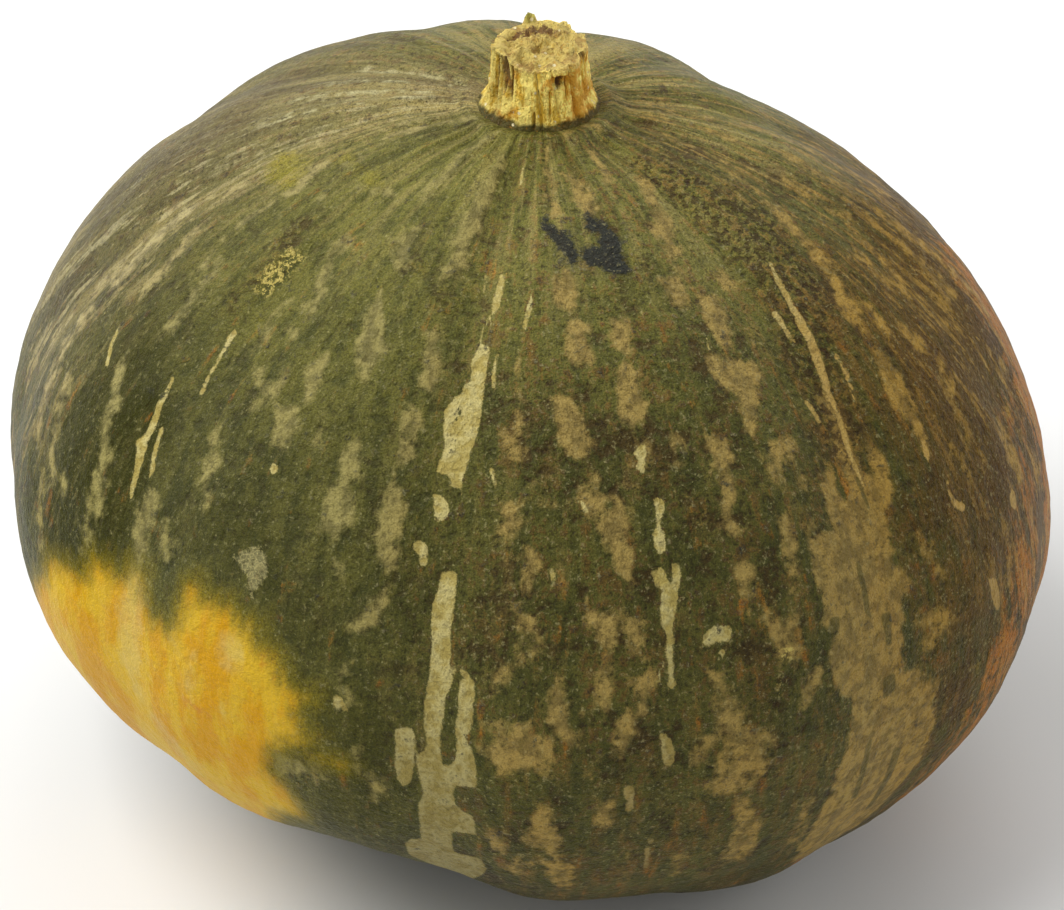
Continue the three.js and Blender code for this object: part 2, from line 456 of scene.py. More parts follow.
CREAM_MARKS: tuple[Mark, ...] = (
    # The long pale streak down the front groove.
    area((-8.6, 56.8), (-7.7, 56.8), (-7.5, 54.5), (-7.7, 53), (-7.9, 52), (-9, 52.2), (-9.2, 53.2),
         (-8.8, 54.6)),
    band((-8.6, 51.6, 0.9), (-9.6, 50.6, 0.8), (-10.2, 49, 0.5), (-10.1, 47.8, 0.4), strength=0.6),
    band((-8.8, 50.2, 0.8), (-8.7, 48.4, 0.8), strength=0.3),
    area((-10.2, 47.6), (-9.3, 47.2), (-8.6, 47.7), (-8.4, 47), (-8.5, 42), (-8.4, 40),
         (-8.5, 37.6), (-8.8, 36.2), (-9.2, 35), (-9.5, 33), (-9.9, 31), (-11.2, 31), (-11.4, 32.8),
         (-11.8, 32.3), (-13.1, 32.3), (-12.8, 34), (-12.8, 35.6), (-13.3, 37), (-13.6, 39),
         (-13, 40.1), (-12.5, 40.8), (-11.5, 41), (-11.4, 42.5), (-10.6, 42.9), (-10.6, 44.1),
         (-11.1, 44.4), (-10.8, 46), (-10.4, 47)),
    area((-13.1, 29.9), (-12.3, 29.9), (-11.3, 29.3), (-10.9, 28.3), (-11, 27.6), (-12, 27.2),
         (-12.5, 27.2), (-12.8, 28.4)),
    area((-14.6, 24.8), (-13.2, 25), (-12.9, 24), (-12.8, 22.6), (-13.5, 22.3), (-13.8, 23.6),
         (-14.5, 24.1), strength=0.85),
    area((-10.9, 21.9), (-9.9, 22.2), (-9.3, 21.9), (-9.3, 20), (-9.5, 16), (-9.3, 12.6),
         (-8.9, 11.4), (-9.2, 10.2), (-9.6, 9.6), (-9.8, 7), (-10.1, 5), (-10, 2.8), (-9.9, 1.5),
         (-8.8, 1.7), (-8.3, 3.4), (-8.3, 5.2), (-8.5, 6.2), (-8.2, 8), (-8.3, 9.8), (-8, 11.4),
         (-7.1, 11.8), (-6.6, 10.8), (-6.8, 8), (-6.9, 6.4), (-7.5, 5), (-6.8, 4.2), (-6.6, 3),
         (-6.3, 1), (-6.4, -0.6), (-8.6, -0.7), (-8.9, -2.2), (-8.4, -4), (-6.7, -4.9),
         (-6.6, -7.6), (-9.2, -7.9), (-9.4, -12.2), (-8.4, -12.4), (-6.4, -12.5), (-5.9, -14.6),
         (-6.4, -17), (-8.2, -22), (-8.8, -28), (-10.6, -36), (-11.4, -29), (-13, -26),
         (-13.8, -19), (-15, -16), (-14.6, -12), (-13.9, -10.6), (-12.6, -10.4), (-12.5, -7),
         (-12.4, -4), (-11.9, -2.8), (-12, -1), (-12.3, 0), (-12.5, 2.2), (-11.6, 2.9), (-11.2, 4),
         (-11.7, 6), (-11.6, 9.8), (-11.3, 12.6), (-11.5, 15.6), (-11.7, 17.6), (-11.3, 20)),
    area((-14.7, 5), (-14, 5.5), (-13, 5.4), (-12.6, 4.6), (-12.7, 3), (-12.9, 0.6), (-13.2, -1),
         (-13.8, -1.8), (-14.4, -1), (-14.7, 1), (-14.5, 3)),
    area((-8.3, 12.3), (-7.9, 12.8), (-7.5, 12.3), (-8, 11.9), strength=0.8),
    band((-9, 13.2, 0.4), (-8.8, 11.8, 0.3), strength=0.7),
    band((-7, 46, 0.5), (-7.2, 44.2, 0.7), (-6.9, 42, 0.4), strength=0.7),
    band((-6.2, 33.2, 0.7), (-5.6, 31.4, 0.5), strength=0.7),
    band((-9.6, 31, 0.3), (-9.6, 27.6, 0.3), strength=0.4),
    area((-1.6, 54.4), (-1, 52.4), (-2, 50.6), (-2.4, 49), (-3, 49), (-2.8, 52), strength=0.55),
    band((-12, 58.4, 0.6), (-11.6, 56.4, 0.7), (-11.4, 54, 0.6), strength=0.5),
    band((-11.1, 64.6, 0.5), (-11, 62, 0.5), strength=0.45),
    band((-7.4, 64.4, 0.6), (-7.9, 61.6, 0.8), strength=0.45),
    area((-8.8, 75.4), (-7.4, 75), (-6.6, 71.2), (-8.2, 70.6), strength=0.6),
    # The thin streak beside it, broken and branching.
    area((13.9, 29.4), (14.9, 29.2), (14.9, 28.2), (14.3, 27.2), (14, 26.6), (14.4, 26), (14.4, 25),
         (14.2, 24), (13.4, 23.8), (13.1, 24.8), (13.1, 25.8), (13.6, 26.6), (13.8, 28)),
    area((13, 22.2), (13.7, 22.5), (13.9, 21.2), (14.2, 20.2), (14.7, 21.4), (14.9, 22.6),
         (15.6, 22.4), (15.6, 21), (15, 20), (14.5, 18), (13.9, 16.4), (13.9, 15.2), (13.7, 13),
         (13.7, 10.1), (13.1, 9.9), (13.2, 12.6), (13, 14.4), (13.5, 15.2), (12.9, 16.8),
         (12.8, 18.4), (13.3, 20), (13, 21.2)),
    band((12.8, 13.2, 0.4), (12, 11, 0.4), strength=0.8),
    band((12.5, 22.3, 0.4), (12.8, 20.6, 0.4), strength=0.6),
    area((12, 5.6), (12.9, 4.8), (13.5, 3.4), (13.2, 1.5), (12.7, 1.2), (12.3, 2.2), (12.1, 3.8),
         strength=0.85),
    area((8.3, -0.1), (9.2, -0.2), (9.5, -1.6), (9.4, -3.4), (9, -4), (8.6, -3.4), (8.7, -2.2),
         (8.2, -1.2), strength=0.7),
    area((12, 34.5), (12.9, 35), (14.1, 35.6), (14, 34.4), (13.2, 32.1), (12.4, 32.4), (12, 32.9),
         (12.8, 33.5), strength=0.7),
    area((17.1, 14), (17.2, 14.8), (17.8, 15.4), (18.6, 15.8), (20.4, 15.3), (20.2, 14.6),
         (19.7, 13.9), (18.6, 14.2), (17.4, 13.8)),
    area((18.9, 13.4), (19.3, 12.9), (18.8, 12.2), (18.4, 12.3), (18.6, 12.9), strength=0.85),
    band((1.3, 23, 0.4), (1.5, 22.2, 0.4)),
    area((11, -8.2), (11.9, -8.4), (11.9, -9.6), (11.2, -9.6), strength=0.6),
    band((11.3, -10.4, 0.9), (11.6, -14.6, 0.8), strength=0.35),
    band((5, 29.8, 0.7), (5.6, 28.8, 0.9), strength=0.5),
    # Streaks in the right shoulder groove.
    band((48.6, 51, 0.7), (47.4, 48.8, 1), (46.4, 46, 1), (45.4, 42.6, 1.4), (44.8, 40.4, 1.5),
         (43.9, 37.6, 1.3), (43, 35, 0.8), (42.6, 33.4, 0.4), strength=0.8),
    band((50.2, 53.8, 0.4), (49.6, 51.8, 0.4), strength=0.5),
    band((43, 34.6, 0.6), (42.3, 31, 0.9), (41.4, 27.6, 0.7), (41.2, 24, 0.5), strength=0.75),
    band((44.6, 42, 0.3), (43.4, 37.4, 0.6), (41.6, 33, 0.4), strength=0.6),
    area((42.2, 45.9), (43.6, 45.9), (43, 43.4), (42.6, 41.4), (42, 42.2), strength=0.75),
    band((39, 34.8, 0.8), (39.4, 32.4, 0.7), strength=0.6),
    band((47, 38.4, 0.7), (46.9, 36, 0.9), (46, 33.4, 0.6), (45.6, 32.2, 0.4), strength=0.55),
    band((27.9, 45.4, 0.4), (27.2, 43.9, 0.4), strength=0.8),
    area((51.4, 25.4), (52.2, 25.4), (51.8, 23.6), (51, 22.8), (50.8, 23.8), strength=0.7),
    band((53.2, 20.6, 0.5), (52.2, 19.6, 0.7), (52.3, 17.6, 0.8), (53.3, 16.9, 1.2), strength=0.6),
    band((71.2, 25.2, 0.4), (70.5, 23, 0.5), (70.4, 20, 0.5), strength=0.6),
    area((54, 8.6), (55.8, 7.6), (56.2, 5.4), (56.2, 3.4), (55.2, 3.6), (54.4, 5.6), strength=0.5),
    area((62.6, 13.4), (64.6, 13.8), (64.2, 12), (63.6, 11), (62.2, 11.8), strength=0.5),
    # Thin streaks on the left shoulder.
    area((-51.4, 40), (-50.6, 39.6), (-50.3, 38.2), (-50.1, 36), (-49.6, 33.8), (-49, 31.8),
         (-49.7, 31.7), (-50.3, 34.6), (-50.7, 36.4), (-51.5, 38.8), strength=0.75),
    area((-55, 32), (-54.5, 31.8), (-53.8, 29.6), (-53.7, 28.2), (-53, 26.6), (-53.1, 24.8),
         (-52.4, 22), (-51.8, 18.2), (-52.3, 18.2), (-53, 21.2), (-54, 23), (-54.7, 24),
         (-53.9, 25.2), (-54.1, 26.8), (-54.6, 28.8), (-54.6, 30.6), strength=0.85),
    area((-52.4, 26.6), (-51.8, 27.1), (-51.1, 24.2), (-50.3, 22.4), (-50.5, 21.3), (-51.4, 23),
         (-52, 25.2), strength=0.75),
    area((-69.6, 32), (-68.6, 31.8), (-67.6, 30), (-66.4, 28.4), (-65.6, 27.6), (-66.6, 27.2),
         (-67.8, 28.8), (-68.8, 30.6), strength=0.6),
    area((-34.5, 28), (-34.2, 29.1), (-33.6, 29.3), (-33.1, 28.2), strength=0.9),
    area((-21.1, 7.3), (-20.9, 7.9), (-20.2, 7.9), (-19.9, 7.2), (-20.6, 6.8)),
    band((-20.8, 6.3, 0.3), (-20.7, 6.1, 0.3)), band((-19.8, 6.9, 0.3), (-19.7, 6.7, 0.3)),
    # Bright flecks where the rind meets the stalk.
    band((50.5, 82.8, 2), (57, 83.3, 1), strength=0.8),
    band((52.4, 76.8, 1.6), (54.8, 77, 1), strength=0.7),
)

FLECK_MARKS: tuple[Mark, ...] = (
    # Left front.
    area((-42, 50.5), (-39.5, 47), (-38.2, 46), (-39.5, 45), (-42.5, 45.6), (-45, 50),
         strength=0.55),
    area((-46, 47), (-45, 44), (-45.3, 41), (-46.3, 39.5), (-47.6, 42), (-47.6, 45), strength=0.5),
    area((-44, 43.6), (-41.2, 44), (-40, 43), (-41.4, 41.8), (-44, 42.6), strength=0.5),
    area((-42.8, 38.5), (-41.2, 36.8), (-40, 37.5), (-39.4, 39), (-38, 38.5), (-38, 37),
         (-38.9, 35.8), (-39, 33), (-40, 33), (-40.6, 35.4), (-43.4, 37), strength=0.65),
    area((-34.2, 42), (-33, 40.6), (-32.5, 37), (-33, 35.8), (-33.8, 36.4), (-35.4, 39.2),
         (-35.4, 40.6), strength=0.8),
    area((-37.8, 35.3), (-36, 35), (-34.6, 35.8), (-33.4, 33.8), (-33.6, 31), (-35, 31),
         (-35.8, 32.6), strength=0.75),
    area((-24.3, 34.8), (-22.2, 32.6), (-22.3, 31.2), (-23.2, 29.8), (-23.1, 27.4), (-22.2, 25.6),
         (-23.8, 24), (-25.2, 24.4), (-25.6, 27.6), (-24.8, 29.6), (-25.5, 31.6), strength=0.8),
    area((-43.7, 32.3), (-42.8, 29), (-40.6, 26.8), (-41.6, 24.4), (-39.8, 22.2), (-40.6, 21.8),
         (-43.2, 24.4), (-44.5, 28.5), (-44.4, 31), strength=0.55),
    area((-49.8, 21), (-48.6, 21.2), (-48, 19.4), (-48.2, 17), (-47.4, 14), (-47.6, 11),
         (-49.8, 11), (-49.6, 15), (-50.3, 18), strength=0.7),
    area((-22.8, 22), (-21.4, 22), (-21.2, 20), (-22.2, 19), (-23.5, 21), strength=0.45),
    area((-16.6, 19.8), (-17.2, 17), (-18.6, 14.6), (-20.2, 15.6), (-19.4, 17.4), (-18, 19.4),
         strength=0.7),
    area((-18.4, 31), (-17, 29.4), (-16.4, 27), (-17, 24.6), (-16.4, 22.2), (-17.4, 21.2),
         (-18.6, 23.5), (-19.3, 27), strength=0.8),
    area((-18.2, 39.4), (-16.6, 37.6), (-17, 35), (-16.1, 33.2), (-17.6, 32.4), (-19.1, 33.4),
         (-18.8, 36.6), strength=0.75),
    area((-30.8, 51), (-28.4, 50.2), (-26.6, 47), (-25.2, 45), (-25.8, 42.6), (-26.6, 40.8),
         (-28.8, 43), (-31.4, 47.4), strength=0.75),
    area((-48.4, 57), (-44, 56), (-42.4, 54.4), (-43.6, 52), (-41, 50), (-44, 49), (-46.2, 52),
         strength=0.6),
    area((-33.6, 61), (-31.4, 61), (-30.4, 58), (-28, 55), (-30, 54.4), (-33.2, 57), strength=0.8),
    fleck(-17.5, 49, 41, 3, 1.4, strength=0.6), fleck(-16.6, 0, -4.5, 1.6, strength=0.55),
    fleck(-26, -0.5, -3.5, 2.2, -1, strength=0.6), fleck(-45, 19, 14, 2, 1, strength=0.45),
    fleck(-47.6, 65.5, 62, 4, 4, strength=0.6), fleck(-30, 35, 32, 3, strength=0.25),
    fleck(-59.6, 29.5, 15, 1.7, 7.4, strength=0.65), fleck(-57, 20, 9, 3, 1, strength=0.35),
    fleck(-69, 24, 12.5, 1.9, 5.6, strength=0.55), fleck(-66.5, 13, 2, 2, 3.4, strength=0.5),
    fleck(-71.6, 46, 35, 2.2, 3, strength=0.6), fleck(-61.5, 45, 34, 2.4, 3, strength=0.5),
    fleck(-66.4, 49, 42, 1, 2.4, strength=0.5), fleck(-63.6, 15, 13, 1.6, strength=0.6),
    fleck(-76, 30, 14, 3, 4, strength=0.5), fleck(-80, 46, 32, 4, 3, strength=0.6),
    fleck(-20.2, 11.6, 8.2, 0.7, strength=0.55), fleck(-19.2, 9.2, 6.8, 0.7, strength=0.5),
    fleck(-18.6, 2.6, 0.4, 0.8, 0.6, strength=0.45), fleck(-22.6, -0.6, -2, 2.6, strength=0.4),
    # Pale places in the ground spot.
    fleck(-48, 12, -1, 3.6, strength=0.75), fleck(-38.4, 7, 1, 1.1, -0.6, strength=0.6),
    fleck(-33.4, 10.4, 7.4, 3.6, strength=0.55), fleck(-33.8, 3.2, 1.4, 1.8, strength=0.5),
    fleck(-41, 10, 5.6, 1, 1, strength=0.5), fleck(-43, -4, -11, 3.4, 4, strength=0.5),
    fleck(-29, -9.4, -12, 2.4, strength=0.5), fleck(-26.6, -5.4, -8.4, 0.9, 0.6, strength=0.6),
    fleck(-26, -0.8, -2.4, 2, -1.4, strength=0.8), fleck(-47.4, -1, -4, 2.4, strength=0.6),
    # Pale rays round the stalk on the left.
    area((-20.6, 76), (-18, 77), (-16.8, 72), (-17.2, 67), (-16.8, 61), (-17.4, 55), (-20, 55),
         (-21.8, 63), (-22, 67), (-20.2, 70), strength=0.75),
    area((-41, 79), (-34, 80), (-35, 74), (-34.6, 69), (-35, 64.6), (-37.6, 66), (-38.6, 71),
         (-40, 75), strength=0.7),
    area((-65, 81), (-60.6, 81), (-65.6, 77.4), (-67.2, 73), (-68.6, 69), (-72, 71), (-71, 75),
         strength=0.75),
    area((-70.6, 62), (-68, 61), (-65, 56), (-66, 55), (-68.8, 57.6), strength=0.7),
    fleck(-67.3, 57, 49, 1.2, 0.4, strength=0.6), fleck(-64.6, 67, 62, 2.4, 0.4, strength=0.5),
    fleck(-82, 80, 58, 2.2, 1, strength=0.5), fleck(-78, 55, 48, 3, 2, strength=0.45),
    fleck(-96, 80, 52, 1.8, strength=0.45), fleck(-110, 80, 60, 2.4, strength=0.45),
    fleck(-88, 74, 46, 1.2, 1, strength=0.4), fleck(-103, 76, 56, 1.6, strength=0.4),
    fleck(-75, 79, 66, 2.4, 1, strength=0.45), fleck(-120, 80, 62, 2.6, strength=0.45),
    fleck(-60, 60, 54, 2, strength=0.4), fleck(-54, 64, 58, 3, 1, strength=0.35),
    # Centre front.
    area((-4.8, 29.9), (-2.6, 29.6), (-2.4, 28), (-3.4, 26.8), (-5, 27), strength=0.65),
    area((-1.4, 25.6), (0, 25), (0.1, 23.2), (-0.9, 22.2), (-1.5, 20.6), (-2.3, 22.4), (-2.2, 24.2),
         strength=0.8),
    area((-3, 19.5), (-0.3, 19.4), (-0.2, 17), (-0.1, 15), (-0.9, 14), (-2.2, 15.2), (-1.6, 16.6),
         (-2.8, 17.6), strength=0.6),
    area((-3.6, 14), (-1.8, 14.4), (-1.6, 13.4), (-3, 12.4), (-5, 10.8), (-5.3, 12.2),
         strength=0.55),
    area((-4.8, 7.4), (-3.6, 7.2), (-2.8, 6.2), (-1.4, 7.8), (-0.6, 6.4), (0.9, 5.4), (0.9, 3.4),
         (0.3, 1.8), (-1, 3), (-2.4, 2.6), (-4, 1.2), (-4.5, 2.6), (-5.4, 4), (-3.7, 5),
         strength=0.7),
    area((1.8, 12.2), (3, 9.3), (2.9, 7.9), (4, 5.4), (2.8, 5.2), (1.2, 8), (0.8, 9.6),
         strength=0.85),
    area((4.9, 20), (5.6, 18.6), (7, 18.4), (8.3, 18), (7.9, 16.4), (7.2, 15), (5.8, 15.6),
         (4.8, 18.2), strength=0.8),
    area((7.2, 28.3), (8.5, 29.9), (10.3, 29.4), (9.7, 25.5), (9.9, 23), (9.6, 21.3), (8.7, 22),
         (7.6, 24.6), (7, 26), strength=0.8),
    area((4.6, 31), (6.4, 30.6), (7.6, 31.8), (7.4, 30), (6.3, 28), (5, 28.4), (4.2, 29.6),
         strength=0.7),
    area((9.4, 17.5), (11, 17.4), (10.7, 15.4), (10.9, 13.4), (9.5, 14.2), (9.1, 15.2),
         strength=0.75),
    area((9.3, 11.7), (11.6, 12.4), (11.1, 10.8), (10.7, 9.4), (10.9, 7.8), (10.2, 7.5), (9.7, 9.6),
         strength=0.75),
    area((6.3, 14.6), (7.7, 14.2), (7.9, 12), (7.6, 10), (6.5, 8.2), (6, 9.8), strength=0.6),
    area((8.2, 8.6), (9.8, 8), (9.2, 6), (8.8, 3.5), (8, 3.6), (7.1, 5.4), (7.5, 7), strength=0.75),
    area((5.5, -1.8), (6.6, -1.8), (7.1, -4), (7.4, -5.6), (6.7, -6.6), (5.7, -4), strength=0.75),
    area((-0.4, -2.6), (1.1, -2.8), (1, -5), (1.8, -8), (1.7, -10), (0.8, -9.6), (-1, -8),
         (-1, -5.6), strength=0.75),
    area((-5.6, -6.4), (-3.8, -6.6), (-2.8, -9.8), (-4.2, -10.4), (-5.6, -9.4), strength=0.6),
    area((-3.3, -10.6), (-0.7, -10.8), (-1.6, -13.2), (-2, -15), (-3.4, -14.4), (-3.9, -12.4),
         strength=0.55),
    area((0, -10.4), (1.7, -10.2), (3.8, -13.2), (3.8, -15.8), (2.8, -17.8), (1.4, -16), (0.4, -13),
         strength=0.65),
    fleck(-3.6, 40, 34, 2.6, strength=0.5), fleck(4, 41, 34.5, 3.4, 1, strength=0.8),
    fleck(6.4, 51, 44.5, 4.4, strength=0.65), fleck(-3.2, 46, 39.5, 1.8, strength=0.4),
    fleck(5, 58, 51.5, 4.2, strength=0.65), fleck(10.4, 58.5, 56.4, 3.4, strength=0.6),
    fleck(14, 50.5, 45.5, 3, strength=0.7), fleck(13.2, 44.5, 37.5, 3.6, strength=0.85),
    fleck(17.6, 35.5, 32, 1.8, strength=0.55), fleck(0, 33, 29, 3.6, strength=0.3),
    fleck(2.6, 24, 20.5, 2, strength=0.3), fleck(5.2, 4, 0, 1.6, strength=0.3),
    fleck(10.4, 33.8, 31, 1.6, strength=0.5), fleck(-6, 50, 46, 1.6, strength=0.3),
    fleck(15.4, -11.5, -18.5, 1.4, strength=0.5), fleck(9.4, -11.5, -17, 1.4, strength=0.35),
    # Right of the thin streak.
    area((22.6, 34.8), (24.7, 34), (23.7, 30.5), (23.6, 28), (22.9, 26.4), (23.8, 25), (22.8, 24.2),
         (21.5, 25), (21.2, 27.5), (22, 31.6), strength=0.75),
    area((22.5, 22.2), (23.9, 22), (23.4, 19), (22.8, 16.8), (22.2, 17.6), (21.2, 20),
         strength=0.6),
    area((27.8, 25), (29.5, 24.5), (29, 20.6), (28.6, 17.6), (27.9, 18), strength=0.65),
    area((17, 12), (18, 11.4), (19.2, 9.4), (20.6, 7), (20.4, 4.6), (22.8, 4.8), (23.6, 3.2),
         (23.2, -1.2), (21.5, -2.6), (19.8, -3), (17.4, -3.4), (16.4, -1.6), (18, 0.6), (17.8, 4.4),
         (17.4, 8), strength=0.55),
    area((16.9, 4.6), (17.4, 3.6), (16.4, 1.2), (15.2, 0.6), (15, 2.4), strength=0.75),
    area((20, -4), (22, -4.6), (23.4, -9), (24, -15), (22, -18), (20, -13), strength=0.55),
    area((27.6, -7), (29, -8), (30, -16), (28.6, -16), (27.4, -11), strength=0.5),
    area((26.4, 7), (28.8, 9.4), (29.9, 9), (29.6, 7.4), (27.8, 5), (26.8, 5), strength=0.6),
    area((28.4, 30), (30, 32.8), (32.5, 32.2), (34.7, 31.8), (34.4, 30.4), (31.4, 30.4),
         (29.2, 27.8), strength=0.55),
    area((32.6, 29), (34.2, 28), (34, 25), (33, 25.4), strength=0.4),
    area((30.8, 22.7), (32.6, 23.4), (33, 22.4), (31.2, 21.6), strength=0.6),
    area((26.6, 43), (30, 42.6), (32, 41.6), (34.6, 41.4), (34.3, 39), (31, 38.2), (30.4, 36.4),
         (28.8, 33.8), (28, 34.6), (28.3, 38.6), (26.6, 40), strength=0.75),
    area((23.4, 16), (25.8, 16.2), (26.4, 14.8), (28, 15.6), (27.8, 12), (26.4, 10.2), (24.6, 10.6),
         (24.4, 13), strength=0.5),
    # The wide tan band.
    area((35.3, 24.5), (35.3, 25.8), (37.2, 27.8), (37.4, 24.4), (38.4, 23.6), (39.6, 24.4),
         (39.7, 28.4), (40.8, 31), (41, 34.6), (43, 34), (42.4, 30), (41.4, 28), (41.8, 25.2),
         (43, 24.6), (44.2, 28.2), (45, 28.2), (44.6, 23), (44, 21.6), (42.4, 21.2), (42.3, 19),
         (41.7, 17.5), (42, 15.4), (43.1, 14.2), (43, 13), (41.7, 12), (41.3, 10.2), (40.8, 9),
         (40.4, 6.4), (40.6, 3), (43, 2.6), (44.8, 0), (45.4, -5), (45.4, -10), (44.2, -15),
         (43.6, -22), (40.4, -27), (38, -36), (35.4, -26), (31.4, -22), (31, -14), (31.2, -11),
         (32.3, -8.4), (32.6, -5), (33, -1), (33, 4.8), (31.4, 5.6), (31.2, 9.6), (32, 11.2),
         (33.2, 12.4), (31, 13.2), (31.5, 15.2), (31.2, 18), (31.4, 21.3), (34.6, 21.5),
         strength=1),
    # Rays round the stalk on the right.
    area((3, 79), (5, 79), (6, 74), (5.6, 66), (3.4, 65), (2.6, 72), strength=0.7),
    area((10.6, 74), (16, 73.6), (17, 69), (19.4, 70.4), (18.6, 66), (13, 64.6), (11, 68),
         strength=0.65),
    area((30.6, 77), (33.6, 77.6), (30.4, 74), (27, 71), (24.4, 69), (23, 70), (26.6, 73.6),
         strength=0.75),
    area((20, 83), (27, 82.4), (24, 79.4), (18.4, 79), strength=0.5),
    area((36, 69), (42.6, 70), (40, 67), (36.4, 63.6), (34.6, 60.4), (32, 56.4), (29.4, 57),
         (29.6, 61), (34, 65), strength=0.75),
    area((44.6, 81.6), (49, 82.4), (52, 80.8), (46.4, 79.6), strength=0.6),
    area((25, 55), (28.4, 54), (29, 51), (26.4, 49.4), (24.6, 50), strength=0.7),
    area((35.4, 53.4), (39.4, 53), (40, 51), (36.6, 50.4), strength=0.65),
    area((31, 51), (34.6, 50), (32.6, 46), (31.4, 43.4), (29.6, 45), (29.8, 48), strength=0.75),
    fleck(30, 56, 52, 3, strength=0.5), fleck(37.2, 47, 41, 2, strength=0.4),
    fleck(14, 36, 32.6, 2.6, strength=0.4),
    # Right flank.
    area((60, 57), (62.8, 57.6), (61.6, 53), (60.8, 49), (58, 44), (56.4, 40), (54, 38.4), (53, 41),
         (55.6, 45), (57.6, 50), (59, 54), strength=0.75),
    area((51.4, 36.4), (54.8, 36), (54.8, 32.6), (53.4, 29), (52.4, 25.6), (51.2, 25), (50.8, 29),
         (51.6, 33), strength=0.75),
    area((57.4, 40.6), (59.6, 40), (59, 36.6), (57.2, 36), strength=0.6),
    area((60.2, 36), (62.6, 36), (63.4, 33.4), (61.8, 31.6), (60.4, 33.4), strength=0.65),
    area((60.4, 28.6), (63.6, 30.6), (64.6, 30), (62.6, 26.4), (60.8, 25.8), strength=0.5),
    area((43.2, 9.6), (46, 9), (47.9, 8.4), (48, 6.2), (45, 4.8), (43, 5.8), strength=0.5),
    area((64.8, 15.6), (66.2, 17), (67.8, 20), (68.8, 18), (68, 12.4), (66.6, 12), strength=0.65),
    area((67, 46), (69.4, 46), (69.6, 38), (68.6, 35.6), (67, 36.4), (66.6, 42), strength=0.5),
    fleck(71.6, 46, 38, 2, -2.4, strength=0.6), fleck(74.4, 58, 44, 2, -3, strength=0.6),
    fleck(64.6, 66, 58, 3.4, -3.4, strength=0.5), fleck(78.4, 41, 31, 2.6, strength=0.6),
    fleck(75, 34, 31, 2, strength=0.5), fleck(59.8, 25, 17, 1.4, 1, strength=0.3),
    fleck(56.3, 23, 15, 1.4, 1, strength=0.4), fleck(77.4, 24, 20, 2.6, strength=0.5),
    fleck(58.4, 8, 4.4, 1.6, strength=0.45), fleck(66, 10, 2, 0.9, strength=0.45),
    fleck(62, 22, 19, 2.4, strength=0.3), fleck(51.4, 0, -9, 1.6, strength=0.3),
    fleck(46.6, 18, 12, 2.6, 1, strength=0.35), fleck(72, 20, 14, 2.6, strength=0.4),
    fleck(84, 58, 24, 3, strength=0.55), fleck(70, 76, 60, 4, -3, strength=0.45),
    fleck(84, 80, 62, 5, -3, strength=0.5), fleck(96, 78, 40, 5, strength=0.45),
    fleck(76.4, 58, 46, 1.6, -1, strength=0.4), fleck(80, 50, 43, 2.6, -1, strength=0.4),
)

WINDOW_MARKS: tuple[Mark, ...] = (
    area((-11.9, 39.9), (-11.1, 39.4), (-11.1, 38.6), (-11.7, 38.9), strength=0.9),
    area((-12.2, 38.4), (-11.5, 38.3), (-11.7, 37.8), strength=0.9),
    area((-13.6, 5), (-13.2, 5), (-13.3, 4.5), strength=0.9),
    area((-8.6, -0.8), (-6.6, -0.7), (-6.4, -3.6), (-8.6, -3.9), strength=0.9),
    area((37.6, 4.3), (39.4, 4.3), (39.4, 2), (37.6, 1.5), strength=0.9),
    area((38.2, 11.2), (39.8, 11), (39.2, 7.2), (38.5, 7.4), strength=0.9),
    area((40.8, 8.4), (42.8, 8.8), (42.6, 3.4), (41.2, 3.2), strength=0.9),
    area((40.5, 25.4), (41.2, 25.8), (41.1, 21.8), (40.6, 22), strength=0.9),
    area((30.4, 10.8), (32.2, 11.4), (33, 13.2), (31.6, 13.4), strength=0.9),
    area((35.4, -3), (36.4, -2.4), (36.2, -12), (35.2, -11), strength=0.9),
    area((40.2, -6), (41.6, -7), (41.2, -17), (40, -18), strength=0.9),
    area((36.4, 17.4), (37.2, 17.8), (37, 11), (36.2, 12), strength=0.9),
    band((-5.2, 76.2, 2.4), (-3.6, 75.6, 1.6), strength=0.6),
    band((-60.6, 80, 5), (-63, 76, 4), (-64.6, 72, 3), strength=0.6),
    band((71, 79.6, 9), (66, 76.4, 9), (59.6, 69.4, 4), strength=0.6),
    band((-13, 69, 5), (-8, 67, 4), strength=0.35),
)

# The blue-black smudge below the stalk.
SMUDGE_MARKS: tuple[Mark, ...] = (
    area((0.6, 64.8), (1.8, 65), (2.8, 63.9), (4.4, 63.6), (4.2, 62.6), (3.2, 62), (2, 62.6),
         (1.6, 63.6), strength=0.8),
    area((4.2, 62.4), (5.6, 62.8), (7.4, 62.6), (7.6, 61), (8.4, 59.8), (7.8, 58.4), (6, 58.2),
         (5.8, 60), (4.2, 60.4), strength=0.95),
    area((4.4, 59), (5.8, 59.2), (6.2, 58), (4.6, 57.8), strength=0.6),
    area((4.6, 64.2), (6.4, 64.6), (7.2, 63.6), (5, 63.2), strength=0.55),
    area((12, 63.6), (13, 64.8), (14.4, 65.1), (15.8, 64.2), (17.4, 63.2), (16.6, 62.4),
         (14.8, 62.6), (13, 62.6), strength=0.95),
    area((15, 61), (16.4, 61.8), (17.2, 63), (19, 62.2), (20, 60.8), (18.8, 60), (18, 59.4),
         (18.8, 58.4), (18.8, 56.8), (17.4, 55.8), (16.4, 56.4), (14.6, 56.2), (13.4, 57),
         (12.4, 57.6), (10.8, 57.6), (9.7, 58.6), (9.8, 60), (11.4, 60.4), (13.2, 60), (14.6, 60)),
)

